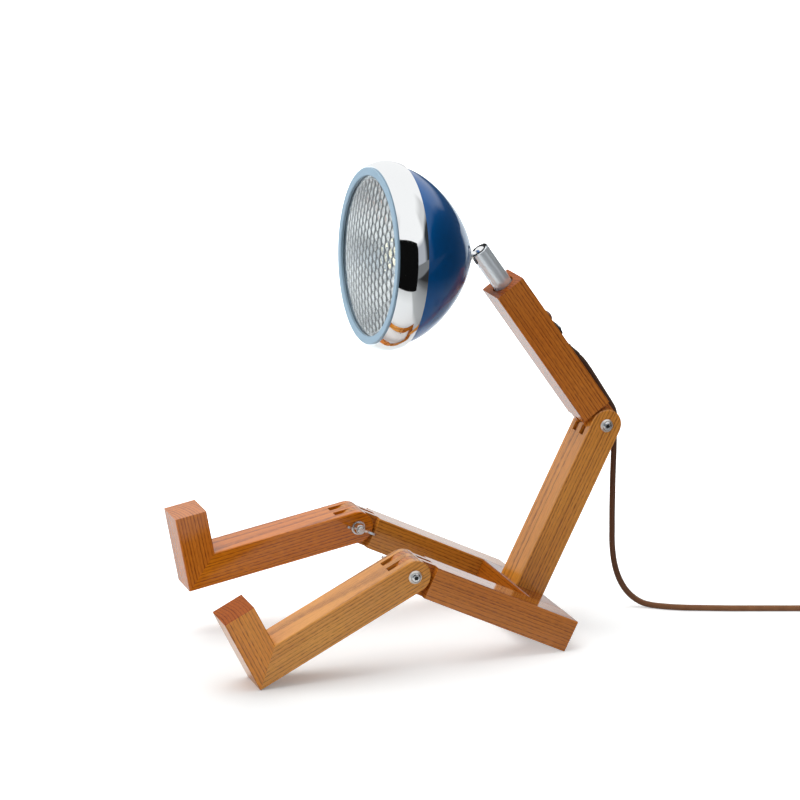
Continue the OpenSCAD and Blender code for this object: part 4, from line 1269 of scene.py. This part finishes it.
class LAMP_OT_stage(bpy.types.Operator):
    """Lay the pale floor and set the soft lights round the lamp"""

    bl_idname = "lamp.stage"
    bl_label = "Stage"

    def execute(self, context):
        scene = context.scene
        scene.view_settings.view_transform = "Standard"
        self.lay_floor(scene.lamp_stage.floor)
        self.set_world(scene)
        self.hang_flag()
        self.light("overhead", (-0.3, -0.35, 1.9), (0, 0.05, 0.1), 1.9, 30, (1, 0.99, 0.97))
        self.light("window", (0.9, -2.2, 1.0), (0, 0, 0.15), 1.6, 14, (1, 1, 1))
        return {"FINISHED"}

    def lay_floor(self, level):
        """Paper that is lit to white away from the figure; mirrors and glass see it differently."""
        material = bpy.data.materials.new("pale_floor")
        shade = Shade(material)
        x, y, _ = shade.split(shade.own_place())
        beside, ahead = x - 0.07, y + 0.15
        away = (beside * beside + ahead * ahead) ** 0.5
        tint = [level * v for v in (0.96, 0.987, 1.0)]
        paper = shade.node("ShaderNodeBsdfDiffuse", inputs={"Color": tint})
        lift = shade.ramp(away / 3.0, (0.015, 0.17), (0.05, 0.35), (0.1, 0.45), (0.24, 0.6), (0.6, 1.0))
        lift = lift + shade.ramp(x * -1.0, (0.03, 0), (0.1, 0.25))
        seen = shade.node("ShaderNodeAddShader", inputs={0: paper, 1: shade.glow(lift)})
        # In mirrors the floor ends in a dark room, behind the figure and beyond its left side
        far = y + x * 0.45
        deep = shade.ramp(far, (0.5, 0.2), (0.85, 0.03))
        deep = deep.maths("MAXIMUM", shade.ramp(x, (0.82, 0), (1.0, 0.2)))
        dark = shade.glow(shade.blend(deep, (0, 0, 0), (0.93, 0.97, 1)))
        beyond = shade.ramp(x / y + 1.0, (0.2, 0), (0.35, 1))
        beyond = beyond.maths("MAXIMUM", shade.ramp(x + 1.0, (0.3, 0), (0.75, 1)))
        ends = shade.ramp(far, (0.13, 0), (0.18, 0.6), (0.42, 0.8), (0.6, 1)) * beyond
        sides = shade.ramp(x, (0.3, 0), (0.95, 0.9))
        lit = shade.ramp(x * -1.0, (0.22, 0), (0.42, 1))
        mirrored = shade.either(lit, paper, shade.glow((0.88, 0.96, 1), 1.22))
        mirrored = shade.either(ends.maths("MAXIMUM", sides), mirrored, dark)
        dull = shade.glow((0.3, 0.33, 0.36))
        shade.output(shade.by_ray(paper, Transmission=dull, Glossy=mirrored, Camera=seen))
        reach = 14
        sheet("floor", [(reach * a, reach * b, 0) for a, b in SQUARE], material)

    def set_world(self, scene):
        """White backdrop and ceiling; mirrors and glass also see the dark parts of a studio."""
        scene.world = bpy.data.worlds.new("studio")
        shade = Shade(scene.world)
        x, y, z = shade.split(shade.node("ShaderNodeTexCoord", out=0))
        level = (x * x + y * y) ** 0.5
        ahead = x / level
        turn = ahead * 0.5 + 0.5
        skyline = shade.ramp(turn, (0.03, 0), (0.08, 0.21), (0.175, 0.28), (0.265, 0.31), (0.36, 0.46),
                             (0.5, 0.55), (0.7, 0.54), (0.85, 0.42), (0.9, 0.4))
        sky = ((z - skyline + 0.08) * 9.0).maths("MAXIMUM", 0.0).maths("MINIMUM", 1.0)
        front = shade.ramp(y / level * -0.5 + 0.5, (0.62, 0), (0.8, 1))
        low = shade.blend(front, (0.03, 0.035, 0.04), (0.5, 0.56, 0.62))
        low = shade.blend(shade.ramp(ahead, (0.55, 0), (0.7, 1)), low, (0.42, 0.44, 0.48))
        dim = shade.ramp(turn, (0.38, 0), (0.46, 0.32), (0.78, 0.32), (0.86, 0))
        high = shade.blend(dim * shade.ramp(z, (0.7, 1), (0.85, 0)), (0.98, 0.985, 0.985), (0, 0, 0))
        bands = shade.ramp(z * 0.5 + 0.5, (0.42, 0.1), (0.5, 0.25), (0.56, 0.5), (0.62, 0.2), (0.75, 0.95))
        inside = shade.blend(bands, (0.02, 0.03, 0.035), (0.95, 0.98, 1.0))
        soft, glassy, mirrored, white = (
            shade.node("ShaderNodeBackground", inputs={"Color": tint, "Strength": strength})
            for tint, strength in (((1, 1, 1), 0.42), (inside, 1), (shade.blend(sky, low, high), 1),
                                   ((1, 1, 1), 1)))
        seen = shade.by_ray(soft, Transmission=glassy, Glossy=mirrored, Camera=white)
        shade.output(seen, "ShaderNodeOutputWorld")

    def hang_flag(self):
        """A dark flag beside the head that only mirrors see."""
        material = bpy.data.materials.new("flag_cloth")
        shade = Shade(material)
        shade.output(shade.glow((0.004, 0.004, 0.004)))
        beside = 0.32
        outline = ((-0.30, 0.118), (0.056, 0.118), (0.072, 0.385), (0.045, 0.425), (-0.30, 0.508))
        flag = sheet("flag", [(beside, y, z) for y, z in outline], material)
        flag.visible_camera = flag.visible_diffuse = False
        flag.visible_transmission = flag.visible_shadow = False

    def light(self, name, place, aim, size, power, tint):
        """A round soft light that mirrors and glass don't see."""
        data = bpy.data.lights.new(name, "AREA")
        data.shape = "DISK"
        data.size = size
        data.energy = power
        data.color = tint
        made = shown(name, data)
        aimed(made, place, aim)
        made.visible_glossy = made.visible_transmission = False


class LAMP_PT_panel(bpy.types.Panel):
    """Lists the lamp's settings and its building steps"""

    bl_idname = "LAMP_PT_panel"
    bl_label = "Desk Lamp"
    bl_space_type = "VIEW_3D"
    bl_region_type = "UI"
    bl_category = "Desk Lamp"

    def draw(self, context):
        for name, group in GROUPS.items():
            box = self.layout.box()
            settings = getattr(context.scene, name)
            for key in group.__annotations__:
                box.prop(settings, key)
        for step in STEPS:
            self.layout.operator(step.bl_idname)


STEPS = (
    LAMP_OT_camera, LAMP_OT_switch, LAMP_OT_plug, LAMP_OT_lead, LAMP_OT_wood, LAMP_OT_head, LAMP_OT_lens,
    LAMP_OT_lamp, LAMP_OT_hardware, LAMP_OT_neck, LAMP_OT_stage,
)


def register():
    for group in GROUPS.values():
        bpy.utils.register_class(group)
    for step in (*STEPS, LAMP_PT_panel):
        bpy.utils.register_class(step)
    for name, group in GROUPS.items():
        setattr(bpy.types.Scene, name, PointerProperty(type=group))


def unregister():
    for name in GROUPS:
        delattr(bpy.types.Scene, name)
    for made in (LAMP_PT_panel, *reversed(STEPS), *reversed(GROUPS.values())):
        bpy.utils.unregister_class(made)


def main():
    register()
    for step in STEPS:
        group, name = step.bl_idname.split(".")
        getattr(getattr(bpy.ops, group), name)()


if __name__ == "__main__":
    main()
